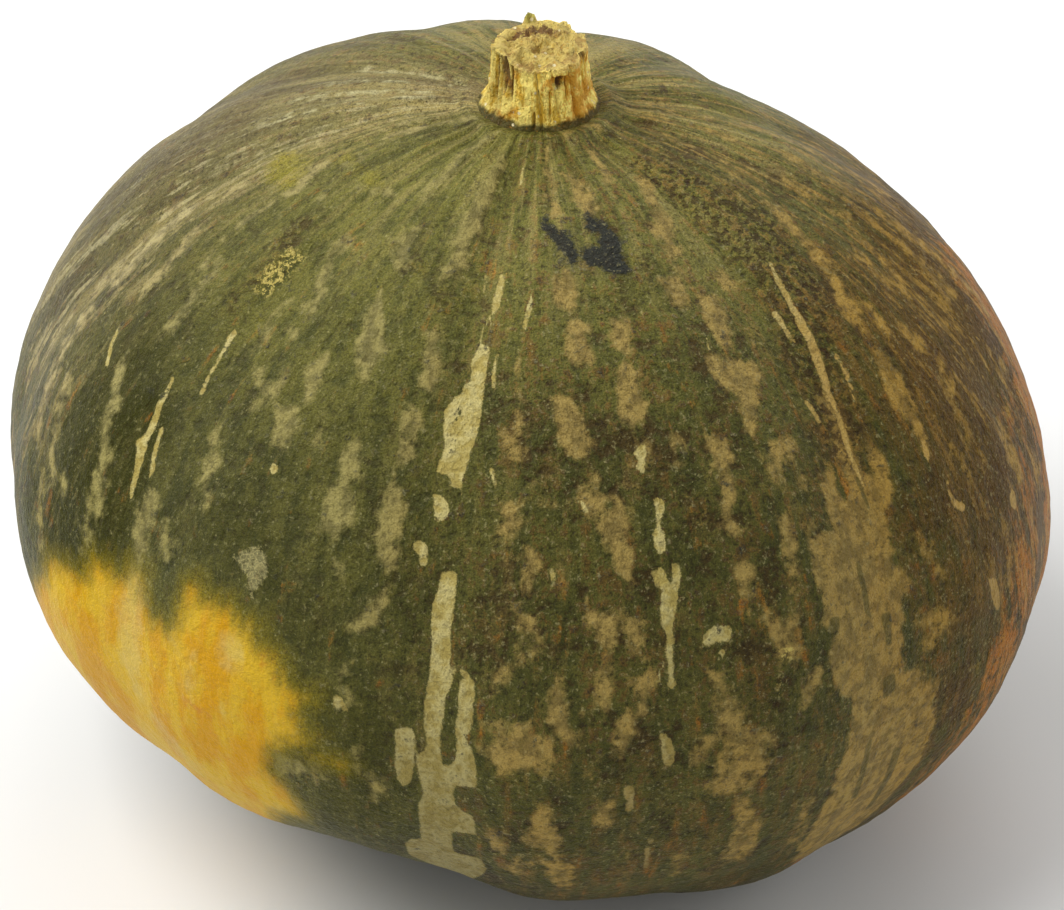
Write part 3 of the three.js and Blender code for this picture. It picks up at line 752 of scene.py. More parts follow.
# Brown granular zones.
ROUGH_MARKS: tuple[Mark, ...] = (
    band((44, 72, 9), (48, 64, 14), (51, 56, 15), (49, 49, 11)),
    band((47, 47, 11), (44, 40, 10), (41, 29, 7), strength=0.85),
    band((22.4, 58, 3), (23.4, 53, 2.4), strength=0.7),
    band((57, 72, 3), (60, 66, 5), strength=0.5),
    band((-57, 55, 4), (-55, 48, 4), (-54.6, 41, 2.4), strength=0.8),
    band((-13.6, 50, 3), (-13, 44, 1.5), strength=0.6),
    band((-27, 55.6, 2.6), (-24.6, 56, 2), strength=0.8),
    band((-19.4, 52.4, 3), (-16.6, 51.6, 3), strength=0.8),
    band((18.6, 30, 2.4), (18, 26, 2.4), strength=0.7),
    band((23.6, 8, 2.4), (24.6, 6, 2.4), strength=0.6),
    band((33, 24, 3), (38, 31, 5), strength=0.5), band((12, -1, 3), (13, -7, 3), strength=0.5),
)

# The pale web-like scab above the ground spot, and smaller ones.
SCAB_MARKS: tuple[Mark, ...] = (
    area((-35, 18.9), (-33.8, 19.8), (-32.5, 20.6), (-31, 20.2), (-30.4, 18.6), (-31, 16.8),
         (-31.7, 16.4), (-31.5, 15.2), (-32.2, 16.4), (-32.8, 17.6)),
    band((-20.8, 7.5, 0.7), (-20.3, 6.6, 0.5)),
    band((16, 50.4, 0.5), (16.8, 50.2, 0.4), strength=0.7),
    band((18.4, 50.4, 0.6), (18.8, 50, 0.4), strength=0.8),
    band((0.6, 53.8, 0.3), (2, 53.6, 0.3), strength=0.7),
)

# Golden crusts.
CRUST_MARKS: tuple[Mark, ...] = (
    area((-55, 51), (-50.4, 51.6), (-49.6, 49), (-50.6, 45), (-52.6, 44.4), (-54.6, 46),
         strength=0.75),
    area((24.8, 11.6), (25.2, 12.4), (26.4, 12), (26.6, 11.2), (25.6, 10.8)),
    band((24.6, 9.6, 0.4), (24.5, 7.4, 0.5), strength=0.7),
    band((-10.4, 57.4, 0.6), (-8.2, 57.4, 1), strength=0.5),
)

# Yellow-green tints on the left shoulder.
LIME_MARKS: tuple[Mark, ...] = (
    band((-66, 63.6, 4), (-58, 65, 5), (-54, 64, 4), strength=0.9),
    band((-79, 57, 6), (-72, 57.6, 7)),
    band((-48, 41, 3), (-44, 38, 3), (-38, 37.6, 2), strength=0.45),
    band((-36.6, 25, 5), (-30, 24, 4), strength=0.35),
)

# Rust and orange tints, strongest on the right flank.
ORANGE_MARKS: tuple[Mark, ...] = (
    band((24, 15.4, 2.4), (27.4, 13.4, 2.4), strength=0.5),
    band((-10.2, 57.6, 1.6), (-7.8, 57, 1.4), strength=0.7),
    band((-44, 55.4, 2), (-41.6, 54.4, 2), strength=0.5),
    band((8.6, 58, 1.6), (11.6, 57, 1.6), strength=0.5),
    band((52.4, 32, 2), (52, 27, 1.6), strength=0.55),
    band((61.6, 50.4, 2.4), (62.4, 49.6, 1.6), strength=0.5),
    band((46.6, 17.6, 2.4), (47, 13, 2.4), strength=0.35),
    band((44, 8, 2), (45, 2, 2), strength=0.4),
    band((60, -4, 5), (66, 8, 8), (72, 17, 10), strength=0.6),
    band((52, -20, 10), (58, -4, 11), (64, 4, 10), strength=0.75),
    band((68, -30, 13), (76, -10, 14), (82, 6, 15), (88, 30, 13), strength=0.92),
    band((38.6, 26, 5), (37, 10, 8), (37.4, -8, 11), (37, -28, 12), strength=0.5),
)

# Painted shade: a deeper green low on the fruit and on its left side.
PAINTED_SHADE_MARKS: tuple[Mark, ...] = (
    band((-60, 8, 16), (-58, 16, 16), (-56, 25, 12)),
    band((-68, 12, 12), (-62, 32, 12), strength=0.7),
    band((-46, 18, 10), (-38, 22, 10), (-24, 14, 8), strength=0.5),
    band((-19, 6, 10), (-19, -14, 12), strength=0.55),
    band((-3, 0, 8), (1, -10, 12), (2, -24, 14), strength=0.45),
    band((-12, -24, 12), (10, -28, 14), (30, -24, 12), strength=0.6),
)

# The yellow ground spot.
GROUND_MARKS: tuple[Mark, ...] = (
    area((-70, -1), (-66, 2), (-63.6, 6), (-60, 7.6), (-57, 8.2), (-55, 11), (-52, 11), (-50.2, 11),
         (-49.4, 12.8), (-47, 12.8), (-46, 10.4), (-44.6, 8.8), (-42.4, 9), (-41.6, 11),
         (-41, 13.8), (-39, 14.6), (-36, 14.4), (-33, 13.8), (-30, 13.6), (-29, 11.6), (-27, 10.6),
         (-26.2, 8.8), (-25.2, 7.8), (-23.2, 8.2), (-23, 6.6), (-24.4, 5.4), (-23.4, 4), (-22.6, 3),
         (-23, 1.6), (-24.8, 0.4), (-27, -1.4), (-27.4, -3.4), (-26.4, -5), (-25.2, -7),
         (-24.8, -9), (-25.6, -11), (-29, -13), (-32, -19), (-36, -29), (-42, -35), (-51, -38),
         (-60, -37), (-68, -32), (-73, -25), (-75, -16), (-74, -8)),
    band((-24, 0.4, 1.6), (-19.6, 0, 0.8), strength=0.9),
)


@dataclass(frozen=True)
class Layer:
    """Marks of one kind, with the softness of their edge and the waver of their outline."""

    marks: tuple[Mark, ...]
    softness: float
    wavering: float = 0.0


SOFT_LAYERS: dict[MarkKind, Layer] = {
    MarkKind.DARK: Layer(WINDOW_MARKS, 0.35),
    MarkKind.SMUDGE: Layer(SMUDGE_MARKS, 0.7, 0.5),
    MarkKind.ROUGH: Layer(ROUGH_MARKS, 1.6, 1.0),
    MarkKind.SCAB: Layer(SCAB_MARKS, 0.45),
    MarkKind.CRUST: Layer(CRUST_MARKS, 0.5, 0.6),
    MarkKind.LIME: Layer(LIME_MARKS, 2.4, 1.2),
    MarkKind.ORANGE: Layer(ORANGE_MARKS, 1.8, 1.2),
    MarkKind.PAINTED_SHADE: Layer(PAINTED_SHADE_MARKS, 2.0, 1.0),
}


@dataclass(frozen=True)
class MarkField:
    """Turns marks into one smooth number per vertex for each kind.

    The soft marks are read at azimuths and latitudes that waver, so that their outlines do too.
    """

    azimuth: np.ndarray
    latitude: np.ndarray
    waver: np.ndarray
    seed: int = 11
    fleck_spacing: float = 4.6
    fleck_share: float = 0.62
    front_margin: float = 0.04

    def edge(self, marks: tuple[Mark, ...], reach: float) -> np.ndarray:
        """Returns the distance in millimetres to the nearest mark, capped at `reach`.

        Args:
            marks: The marks to measure to.
            reach: The largest distance that counts.

        Returns:
            One distance per vertex, negative inside a mark.
        """
        best = np.full_like(self.azimuth, reach)
        for mark in marks:
            gap = mark.distance(self.azimuth, self.latitude) + (1.0 - mark.strength) * 0.5
            best = np.minimum(best, gap)
        return np.maximum(best, -reach)

    def cover(self, layer: Layer) -> np.ndarray:
        """Returns how strongly a layer's marks cover each vertex, from 0 to 1.

        Args:
            layer: Marks, and how soft their edges are.

        Returns:
            One number per vertex.
        """
        narrow = np.clip(np.cos(np.radians(self.latitude)), 0.2, 1.0)
        azimuth = self.azimuth + layer.wavering * self.waver[:, 0] / narrow
        latitude = self.latitude + layer.wavering * self.waver[:, 1]
        best = np.zeros_like(self.azimuth)
        for mark in layer.marks:
            gap = np.clip(mark.distance(azimuth, latitude) / layer.softness, -30.0, 30.0)
            best = np.maximum(best, mark.strength / (1.0 + np.exp(gap)))
        return best

    def faces_front(self, azimuth: float, latitude: float) -> bool:
        """Tells whether a place lies on the side that carries the placed marks.

        Args:
            azimuth: Degrees round the axis.
            latitude: Degrees above the widest level.

        Returns:
            True on the placed side.
        """
        a, l, tilt = (math.radians(angle) for angle in (azimuth, latitude, CAMERA_HEIGHT))
        facing = math.cos(a) * math.cos(l) * math.cos(tilt) + math.sin(l) * math.sin(tilt)
        return facing > self.front_margin

    def hidden_flecks(self) -> tuple[Mark, ...]:
        """Returns flecks for the sides and back, strewn like those on the front.

        Returns:
            The strewn flecks.
        """
        random = np.random.default_rng(self.seed)
        marks = []
        for azimuth in np.arange(60.0, 300.0, self.fleck_spacing):
            latitude = 64.0 + random.uniform(-6.0, 4.0)
            while latitude > -38.0:
                length = random.uniform(4.0, 12.0) * (1.6 if latitude > 45.0 else 1.0)
                place = (azimuth + random.uniform(-1.8, 1.8), latitude, latitude - length,
                         random.uniform(1.4, 3.6), random.uniform(-1.0, 1.0))
                strength = random.uniform(0.4, 0.85)
                chosen = random.uniform() < self.fleck_share
                if chosen and not self.faces_front(azimuth, latitude):
                    marks.append(fleck(*place, strength=strength))
                latitude -= length + random.uniform(1.0, 7.0)
        return tuple(marks)

    def hidden_streaks(self, grooves: tuple[Groove, ...]) -> tuple[Mark, ...]:
        """Returns broken pale streaks along the grooves of the sides and back.

        Args:
            grooves: The lobe grooves to follow.

        Returns:
            The strewn streaks.
        """
        random = np.random.default_rng(self.seed + 1)
        marks = []
        for groove in grooves:
            latitude = random.uniform(40.0, 60.0)
            while latitude > -30.0:
                length = random.uniform(3.0, 14.0)
                drift = random.uniform(-1.2, 1.2)
                width = random.uniform(0.6, 2.2)
                start = (groove.azimuth + drift, latitude, 0.6 * width)
                middle = (groove.azimuth + drift + random.uniform(-0.6, 0.6),
                          latitude - 0.5 * length, width)
                end = (groove.azimuth + drift, latitude - length, 0.5 * width)
                strength = random.uniform(0.6, 1.0)
                if not self.faces_front(groove.azimuth, latitude):
                    marks.append(band(start, middle, end, strength=strength))
                latitude -= length + random.uniform(2.0, 12.0)
        return tuple(marks)


# ---- Finishes -----------------------------------------------------------------------------


Socket = bpy.types.NodeSocket
Value = Socket | float | tuple[float, float, float, float]


class Desk:
    """Lays out the shader nodes of one finish."""

    def __init__(self, name: str) -> None:
        """Starts a material with its Principled shader.

        Args:
            name: The material's name.
        """
        self.material = bpy.data.materials.new(name)
        self.material.use_nodes = True
        self.tree = self.material.node_tree
        self.shader = self.tree.nodes["Principled BSDF"]

    def node(self, kind: str, **settings: object) -> bpy.types.Node:
        """Adds a node and sets its own properties.

        Args:
            kind: The node's type.
            **settings: The node's own properties.

        Returns:
            The new node.
        """
        made = self.tree.nodes.new(kind)
        for key, value in settings.items():
            setattr(made, key, value)
        return made

    def plug(self, socket: Socket, value: Value) -> None:
        """Links a socket, or sets its value where a plain number or colour is given.

        Args:
            socket: The input to fill.
            value: What goes into it.
        """
        if isinstance(value, Socket):
            self.tree.links.new(value, socket)
        else:
            socket.default_value = value

    def filled(self, kind: str, result: str | int, values: dict[str | int, Value],
               **settings: object) -> Socket:
        """Adds a node, plugs its inputs and returns one of its outputs.

        Args:
            kind: The node's type.
            result: Name or number of the output to return.
            values: What goes into each input, by its name or number.
            **settings: The node's own properties.

        Returns:
            The output's socket.
        """
        made = self.node(kind, **settings)
        for key, value in values.items():
            self.plug(made.inputs[key], value)
        return made.outputs[result]

    def where(self) -> Socket:
        """Returns the object coordinates."""
        return self.filled("ShaderNodeTexCoord", "Object", {})

    def attribute(self, name: str) -> Socket:
        """Returns a stored number."""
        return self.filled("ShaderNodeAttribute", "Fac", {}, attribute_name=name)

    def stretched(self, vector: Socket, across: float, along: float, shift: float) -> Socket:
        """Returns a vector scaled across and along Z, and moved so that layers differ."""
        return self.filled("ShaderNodeMapping", "Vector", {
            "Vector": vector, "Scale": (across, across, along),
            "Location": (shift, shift * 0.7, -shift)})

    def noise(self, vector: Socket, scale: float, detail: float, roughness: float) -> Socket:
        """Returns fractal noise between 0 and 1."""
        return self.filled("ShaderNodeTexNoise", "Fac", {
            "Vector": vector, "Scale": scale, "Detail": detail, "Roughness": roughness})

    def cells(self, vector: Socket, scale: float, feature: str = "F1") -> Socket:
        """Returns the distance to the nearest cell centre, or to the nearest cell edge."""
        return self.filled("ShaderNodeTexVoronoi", "Distance", {"Vector": vector, "Scale": scale},
                           feature=feature)

    def math(self, operation: str, a: Value, b: Value) -> Socket:
        """Returns the result of a math operation on two values."""
        return self.filled("ShaderNodeMath", 0, {0: a, 1: b}, operation=operation)

    def product(self, a: Value, b: Value) -> Socket:
        """Returns two values multiplied."""
        return self.math("MULTIPLY", a, b)

    def step(self, value: Value, low: float, high: float, start: float = 0.0,
             end: float = 1.0) -> Socket:
        """Returns a smooth change from `start` at `low` to `end` at `high`."""
        return self.filled("ShaderNodeMapRange", "Result", {
            "Value": value, "From Min": low, "From Max": high, "To Min": start, "To Max": end},
            interpolation_type="SMOOTHSTEP")

    def swayed(self, value: Value, *sways: tuple[Socket, float]) -> Socket:
        """Returns a value moved up and down by noises, which makes a clean edge ragged.

        Args:
            value: The value to move.
            *sways: Noises, each with how far it moves the value.

        Returns:
            The moved value.
        """
        for sway, amount in sways:
            centred = self.math("SUBTRACT", sway, 0.5)
            value = self.math("ADD", value, self.product(centred, amount))
        return value

    def blend(self, factor: Value, under: Value, over: Value, mode: str = "MIX") -> Socket:
        """Returns one colour laid over another by a factor."""
        return self.filled("ShaderNodeMix", 2, {0: factor, 6: under, 7: over},
                           data_type="RGBA", blend_type=mode)

    def shaded(self, colour: Value, shade: Value) -> Socket:
        """Returns a colour darkened or lightened by a shade."""
        return self.blend(1.0, colour, shade, "MULTIPLY")

    def bump(self, height: Value, distance: float, strength: float,
             normal: Socket | None = None) -> Socket:
        """Returns a normal tilted by a height, chained after another where one is given.

        Args:
            height: The height at each place.
            distance: What one unit of height stands for, in metres.
            strength: How much of the tilt to take.
            normal: The normal to tilt further.

        Returns:
            The tilted normal.
        """
        values = {"Height": height, "Distance": distance, "Strength": strength}
        if normal is not None:
            values["Normal"] = normal
        return self.filled("ShaderNodeBump", "Normal", values)


class RindDesk(Desk):
    """The desk of the rind, with the places and the noises that its layers share."""

    def __init__(self) -> None:
        """Reads the places and lays out each shared noise once."""
        super().__init__("rind")
        self.place = self.where()
        self.flow = self.filled("ShaderNodeAttribute", "Vector", {}, attribute_name="flow")
        self.height = self.filled("ShaderNodeSeparateXYZ", "Z", {0: self.flow})
        self.broad = self.noise(self.place, 70.0, 3.0, 0.6)
        self.medium = self.noise(self.place, 380.0, 4.0, 0.68)
        self.fine = self.noise(self.place, 1150.0, 3.0, 0.7)
        self.grain = self.noise(self.place, 3600.0, 1.0, 0.6)
        self.soft = self.noise(self.place, 420.0, 1.0, 0.5)
        self.clumps = self.noise(self.place, 760.0, 2.0, 0.6)
        self.along = self.noise(self.stretched(self.flow, 24.0, 9.0, 3.1), 1.0, 4.0, 0.66)
        self.strands = self.noise(self.stretched(self.flow, 44.0, 7.0, 9.4), 1.0, 4.0, 0.6)


@dataclass(frozen=True)
class RindFinish:
    """The hard waxy rind: dark olive, flecked, streaked and granular."""

    deep_green: tuple = srgb(62, 63, 23)
    shade_green: tuple = srgb(54, 54, 17)
    olive: tuple = srgb(91, 88, 35)
    # Mauve-grey that the painted sheen lends the bare green.
    sheen_mauve: tuple = srgb(110, 98, 64)
    deep_brown: tuple = srgb(62, 42, 14)
    red_brown: tuple = srgb(92, 60, 24)
    brown: tuple = srgb(99, 69, 22)
    orange: tuple = srgb(198, 120, 14)
    tan: tuple = srgb(150, 128, 68)
    warm_tan: tuple = srgb(156, 124, 54)
    cool_tan: tuple = srgb(140, 130, 74)
    # Pale grey of the painted sheen on the far left.
    painted_sheen: tuple = srgb(186, 180, 136)
    cream: tuple = srgb(168, 150, 80)
    bright_cream: tuple = srgb(196, 182, 118)
    golden: tuple = srgb(184, 148, 76)
    ray: tuple = srgb(173, 154, 92)
    lime: tuple = srgb(156, 144, 20)
    smudge: tuple = srgb(36, 38, 33)
    crack: tuple = srgb(38, 28, 10)
    scab: tuple = srgb(160, 152, 106)
    crust: tuple = srgb(198, 178, 94)
    ground: tuple = srgb(198, 146, 5)
    ground_pale: tuple = srgb(204, 166, 36)
    ground_edge: tuple = srgb(112, 100, 14)
    ground_red: tuple = srgb(188, 112, 22)
    speck: tuple = srgb(176, 168, 114)
    scar: tuple = srgb(164, 136, 88)
    roughness: float = 0.46
    specular: float = 0.125
    dull_specular: float = 0.07
    shade_specular: float = 0.04
    pebble_height: float = 0.00050
    dimple_height: float = 0.00120
    grain_height: float = 0.00012

    def make(self) -> bpy.types.Material:
        """Builds the rind's material.

        Returns:
            A material that reads the marks stored on the fruit.
        """
        desk = RindDesk()
        colour = self.green(desk)
        colour = self.flanks(desk, colour)
        colour = self.rays(desk, colour)
        colour, tinted = self.flecks(desk, colour)
        colour = self.granules(desk, colour)
        colour, pale = self.streaks(desk, colour)
        colour = self.blemishes(desk, colour)
        colour = self.underside(desk, colour)
        colour, heart = self.ground_spot(desk, colour, tinted)
        smooth = desk.math("MAXIMUM", desk.product(pale, 0.8), heart)
        smooth = desk.math("MAXIMUM", desk.product(tinted, 0.55), smooth)
        colour = self.grains(desk, colour, smooth)
        desk.plug(desk.shader.inputs["Base Color"], colour)
        desk.shader.inputs["Roughness"].default_value = self.roughness
        dull = desk.step(desk.attribute("brown"), 0.3, 0.9, self.specular, self.dull_specular)
        # Less sheen where shade is painted.
        painted_shade = desk.step(desk.attribute("painted_shade"), 0.2, 1.0, self.specular, self.shade_specular)
        sheen = desk.math("MINIMUM", dull, painted_shade)
        desk.plug(desk.shader.inputs["Specular IOR Level"], sheen)
        desk.plug(desk.shader.inputs["Normal"], desk.bump(self.relief(desk), 1.0, 1.0))
        return desk.material

    def green(self, desk: RindDesk) -> Socket:
        """Returns the mottled green of the bare rind: lighter towards the crown, partly by painted
        light.

        Args:
            desk: The rind's desk.

        Returns:
            The new colour.
        """
        busy = desk.attribute("busy")
        tone = desk.product(desk.math("ADD", desk.along, desk.medium), 0.5)
        tone = desk.step(desk.swayed(tone, (desk.broad, 0.3)), 0.38, 0.60)
        colour = desk.blend(tone, self.deep_green, self.olive)
        rust = desk.swayed(desk.medium, (desk.fine, 0.6), (desk.along, 0.8))
        rust = desk.product(desk.step(rust, 0.55, 0.66), desk.step(busy, 0.0, 1.0, 0.0, 0.6))
        colour = desk.blend(rust, colour, self.red_brown)
        gloom = desk.step(desk.swayed(desk.medium, (desk.broad, 0.8)), 0.46, 0.30)
        gloom = desk.product(gloom, desk.step(busy, 0.0, 1.0, 0.2, 0.7))
        colour = desk.blend(gloom, colour, self.deep_brown)
        # Painted sheen: the bare green turns mauve-grey on the far left, where light grazes.
        painted_sheen = desk.product(desk.attribute("painted_sheen"), 0.6)
        colour = desk.blend(painted_sheen, colour, self.sheen_mauve)
        # Lighter towards the crown: partly the crown's own paler rind, partly painted light from
        # above.
        colour = desk.shaded(colour, desk.step(desk.height, 0.4, 1.2, 0.95, 1.75))
        # Painted shade: the rind goes to a shade green where the painted shade marks lie.
        painted_shade = desk.swayed(desk.attribute("painted_shade"), (desk.medium, 0.8))
        return desk.blend(desk.step(painted_shade, 0.1, 1.0, 0.0, 0.95), colour, self.shade_green)

    def flanks(self, desk: RindDesk, colour: Value) -> Socket:
        """Returns the colour with the brown, orange and lime tints of the flanks.

        Args:
            desk: The rind's desk.
            colour: The colour so far.

        Returns:
            The new colour.
        """
        brown = desk.swayed(desk.attribute("brown"), (desk.strands, 1.6), (desk.medium, 1.0))
        colour = desk.blend(desk.step(brown, 0.2, 1.0, 0.0, 0.75), colour, self.brown)
        orange = desk.swayed(desk.attribute("orange"), (desk.strands, 2.2), (desk.medium, 2.0))
        colour = desk.blend(desk.step(orange, 0.3, 1.1, 0.0, 0.7), colour, self.orange)
        lime = desk.swayed(desk.attribute("lime"), (desk.medium, 1.1), (desk.broad, 0.6))
        return desk.blend(desk.step(lime, 0.3, 0.8, 0.0, 0.5), colour, self.lime)

    def rays(self, desk: RindDesk, colour: Value) -> Socket:
        """Returns the colour with the soft pale and dark rays that leave the stalk.

        Args:
            desk: The rind's desk.
            colour: The colour so far.

        Returns:
            The new colour.
        """
        # The rays show near the stalk and across the painted sheen.
        near = desk.math("MAXIMUM", desk.step(desk.height, 0.72, 1.25), desk.attribute("painted_sheen"))
        rays = desk.noise(desk.stretched(desk.flow, 9.0, 1.8, 4.3), 1.0, 3.0, 0.55)
        brushed = desk.noise(desk.stretched(desk.flow, 30.0, 5.0, 6.1), 1.0, 3.0, 0.6)
        rays = desk.swayed(rays, (brushed, 0.5))
        pale = desk.product(desk.step(rays, 0.47, 0.66), near)
        strength = desk.step(desk.attribute("stray"), 0.1, 0.7, 0.38, 0.66)
        colour = desk.blend(desk.product(pale, strength), colour, self.ray)
        dark = desk.product(desk.step(rays, 0.50, 0.34), near)
        return desk.blend(desk.product(dark, 0.45), colour, self.deep_brown)

    def flecks(self, desk: RindDesk, colour: Value) -> tuple[Socket, Socket]:
        """Lays the tan flecks, soft and feathered along the meridians, over the rind.

        Args:
            desk: The rind's desk.
            colour: The colour so far.

        Returns:
            The colour with the flecks, and how far they cover each place.
        """
        cover = desk.swayed(desk.attribute("fleck"), (desk.soft, 0.7), (desk.fine, 0.3),
                            (desk.strands, 0.55))
        mask = desk.product(desk.step(cover, 0.12, 0.60), 0.95)
        stray = desk.swayed(desk.strands, (desk.along, 0.7), (desk.fine, 0.15))
        stray = desk.product(desk.step(stray, 0.53, 0.63), desk.attribute("stray"))
        mask = desk.math("MAXIMUM", mask, stray)
        warm = desk.swayed(desk.attribute("brown"), (desk.along, 0.8))
        tan = desk.blend(desk.step(desk.attribute("busy"), 0.0, 0.8), self.cool_tan, self.tan)
        tan = desk.blend(desk.step(warm, 0.1, 0.8), tan, self.warm_tan)
        # Under the painted sheen the flecks turn pale grey.
        tan = desk.blend(desk.attribute("painted_sheen"), tan, self.painted_sheen)
        mottle = desk.swayed(desk.soft, (desk.fine, 0.5), (desk.along, 0.5))
        tan = desk.shaded(tan, desk.step(mottle, 0.34, 0.66, 0.68, 1.16))
        return desk.blend(mask, colour, tan), mask

    def granules(self, desk: RindDesk, colour: Value) -> Socket:
        """Returns the colour with the dark brown granules of the rough zones.

        Args:
            desk: The rind's desk.
            colour: The colour so far.

        Returns:
            The new colour.
        """
        rough = desk.swayed(desk.attribute("rough"), (desk.soft, 0.8))
        zone = desk.step(rough, 0.15, 0.75)
        dark = desk.product(zone, desk.step(desk.clumps, 0.53, 0.43))
        colour = desk.blend(desk.product(dark, 0.72), colour, self.deep_brown)
        beads = desk.product(zone, desk.step(desk.clumps, 0.53, 0.64))
        return desk.blend(desk.product(beads, 0.36), colour, self.warm_tan)

    def streaks(self, desk: RindDesk, colour: Value) -> tuple[Socket, Socket]:
        """Lays the crisp cream streaks, and the dark windows in them, over the rind.

        Args:
            desk: The rind's desk.
            colour: The colour so far.

        Returns:
            The colour with the streaks, and how far they cover each place.
        """
        edge = desk.swayed(desk.attribute("cream"), (desk.fine, 1.2), (desk.medium, 1.0))
        shut = desk.step(desk.swayed(desk.attribute("dark"), (desk.fine, 0.5)), 0.38, 0.58)
        mask = desk.product(desk.step(edge, 0.24, -0.10), desk.step(shut, 0.0, 1.0, 0.96, 0.03))
        cream = desk.blend(desk.step(desk.medium, 0.40, 0.60), self.cream, self.bright_cream)
        gilt = desk.step(desk.attribute("brown"), 0.2, 0.6, 0.0, 0.85)
        cream = desk.blend(gilt, cream, self.golden)
        cream = desk.shaded(cream, desk.step(desk.fine, 0.3, 0.62, 0.86, 1.05))
        # Painted shade: the streaks darken towards the bottom of the fruit.
        cream = desk.shaded(cream, desk.step(desk.height, -0.3, 0.45, 0.58, 1.04))
        colour = desk.blend(desk.product(shut, 0.6), colour, self.deep_green)
        return desk.blend(mask, colour, cream), mask

    def blemishes(self, desk: RindDesk, colour: Value) -> Socket:
        """Returns the colour with the smudge, the scabs and the crusts.

        Args:
            desk: The rind's desk.
            colour: The colour so far.

        Returns:
            The new colour.
        """
        smudge = desk.swayed(desk.attribute("smudge"), (desk.fine, 1.0), (desk.medium, 1.7))
        colour = desk.blend(desk.step(smudge, 0.13, 0.52, 0.0, 0.96), colour, self.smudge)
        crust = desk.product(desk.attribute("crust"), desk.step(desk.fine, 0.45, 0.58))
        colour = desk.blend(desk.step(crust, 0.2, 0.7, 0.0, 0.85), colour, self.crust)
        web = desk.cells(desk.place, 1100.0, "DISTANCE_TO_EDGE")
        scab = desk.swayed(desk.attribute("scab"), (desk.fine, 0.9))
        colour = desk.blend(desk.step(scab, 0.35, 0.7, 0.0, 0.45), colour, self.scab)
        threads = desk.product(desk.step(web, 0.14, 0.02), desk.step(scab, 0.3, 0.5))
        return desk.blend(desk.product(threads, 0.3), colour, self.bright_cream)

    def underside(self, desk: RindDesk, colour: Value) -> Socket:
        """Returns the colour with the cracked cork of the blossom scar.

        Args:
            desk: The rind's desk.
            colour: The colour so far.

        Returns:
            The new colour.
        """
        scar = desk.swayed(desk.attribute("scar"), (desk.fine, 0.7), (desk.medium, 0.6))
        colour = desk.blend(desk.step(scar, 0.35, 0.6), colour, self.scar)
        crack = desk.swayed(desk.attribute("crack"), (desk.fine, 0.6))
        return desk.blend(desk.step(crack, 0.35, 0.75, 0.0, 0.85), colour, self.crack)

    def ground_spot(self, desk: RindDesk, colour: Value, tinted: Socket) -> tuple[Socket, Socket]:
        """Lays the yellow ground spot over the rind.

        Args:
            desk: The rind's desk.
            colour: The colour so far.
            tinted: How far the flecks cover each place.

        Returns:
            The colour with the spot, and how far the spot covers each place.
        """
        brush = desk.noise(desk.stretched(desk.flow, 26.0, 6.0, 5.3), 1.0, 3.0, 0.6)
        edge = desk.swayed(desk.attribute("ground"), (brush, 6.0), (desk.soft, 2.4),
                           (desk.fine, 0.8))
        fringe = desk.step(edge, 3.4, -1.0)
        heart = desk.step(edge, 0.4, -5.0)
        light = desk.step(desk.swayed(desk.broad, (brush, 0.7)), 0.38, 0.62)
        spot = desk.blend(light, self.ground, self.ground_pale)
        blush = desk.noise(desk.place, 160.0, 4.0, 0.7)
        spot = desk.blend(desk.step(blush, 0.60, 0.74, 0.0, 0.5), spot, self.ground_red)
        spot = desk.blend(desk.product(tinted, 0.35), spot, self.bright_cream)
        colour = desk.blend(desk.product(fringe, 0.8), colour, self.ground_edge)
        return desk.blend(heart, colour, spot), heart

    def grains(self, desk: RindDesk, colour: Value, smooth: Socket) -> Socket:
        """Returns the colour with its tiny light specks, painted glints and dark pits.

        Args:
            desk: The rind's desk.
            colour: The colour so far.
            smooth: How far the grain is calmed.

        Returns:
            The new colour.
        """
        calm = desk.step(smooth, 0.0, 1.0, 1.0, 0.2)
        busy = desk.product(desk.step(desk.attribute("busy"), 0.0, 1.0, 0.7, 1.0), calm)
        dark = desk.product(desk.step(desk.fine, 0.46, 0.34), busy)
        colour = desk.blend(desk.product(dark, 0.6), colour, self.crack)
        pale = desk.product(desk.step(desk.fine, 0.56, 0.70), busy)
        colour = desk.blend(desk.product(pale, 0.35), colour, self.speck)
        # Painted glints: tiny bright dots where the skin would catch the light.
        shine = desk.product(desk.step(desk.cells(desk.place, 560.0), 0.13, 0.06), calm)
        colour = desk.blend(desk.product(shine, 0.3), colour, self.speck)
        mottle = desk.step(desk.grain, 0.3, 0.7, 0.76, 1.24)
        return desk.blend(calm, colour, mottle, "MULTIPLY")

    def relief(self, desk: RindDesk) -> Socket:
        """Returns the height of the pebbled skin, coarser in the granular zones.

        Args:
            desk: The rind's desk.

        Returns:
            The height in metres.
        """
        rough = desk.step(desk.attribute("rough"), 0.1, 0.7, 1.0, 2.0)
        rough = desk.product(rough, desk.step(desk.attribute("ground"), 0.0, -6.0, 1.0, 0.3))
        tall = desk.product(desk.product(desk.fine, self.pebble_height), rough)
        tall = desk.math("ADD", tall, desk.product(desk.medium, self.dimple_height))
        return desk.math("ADD", tall, desk.product(desk.grain, self.grain_height))


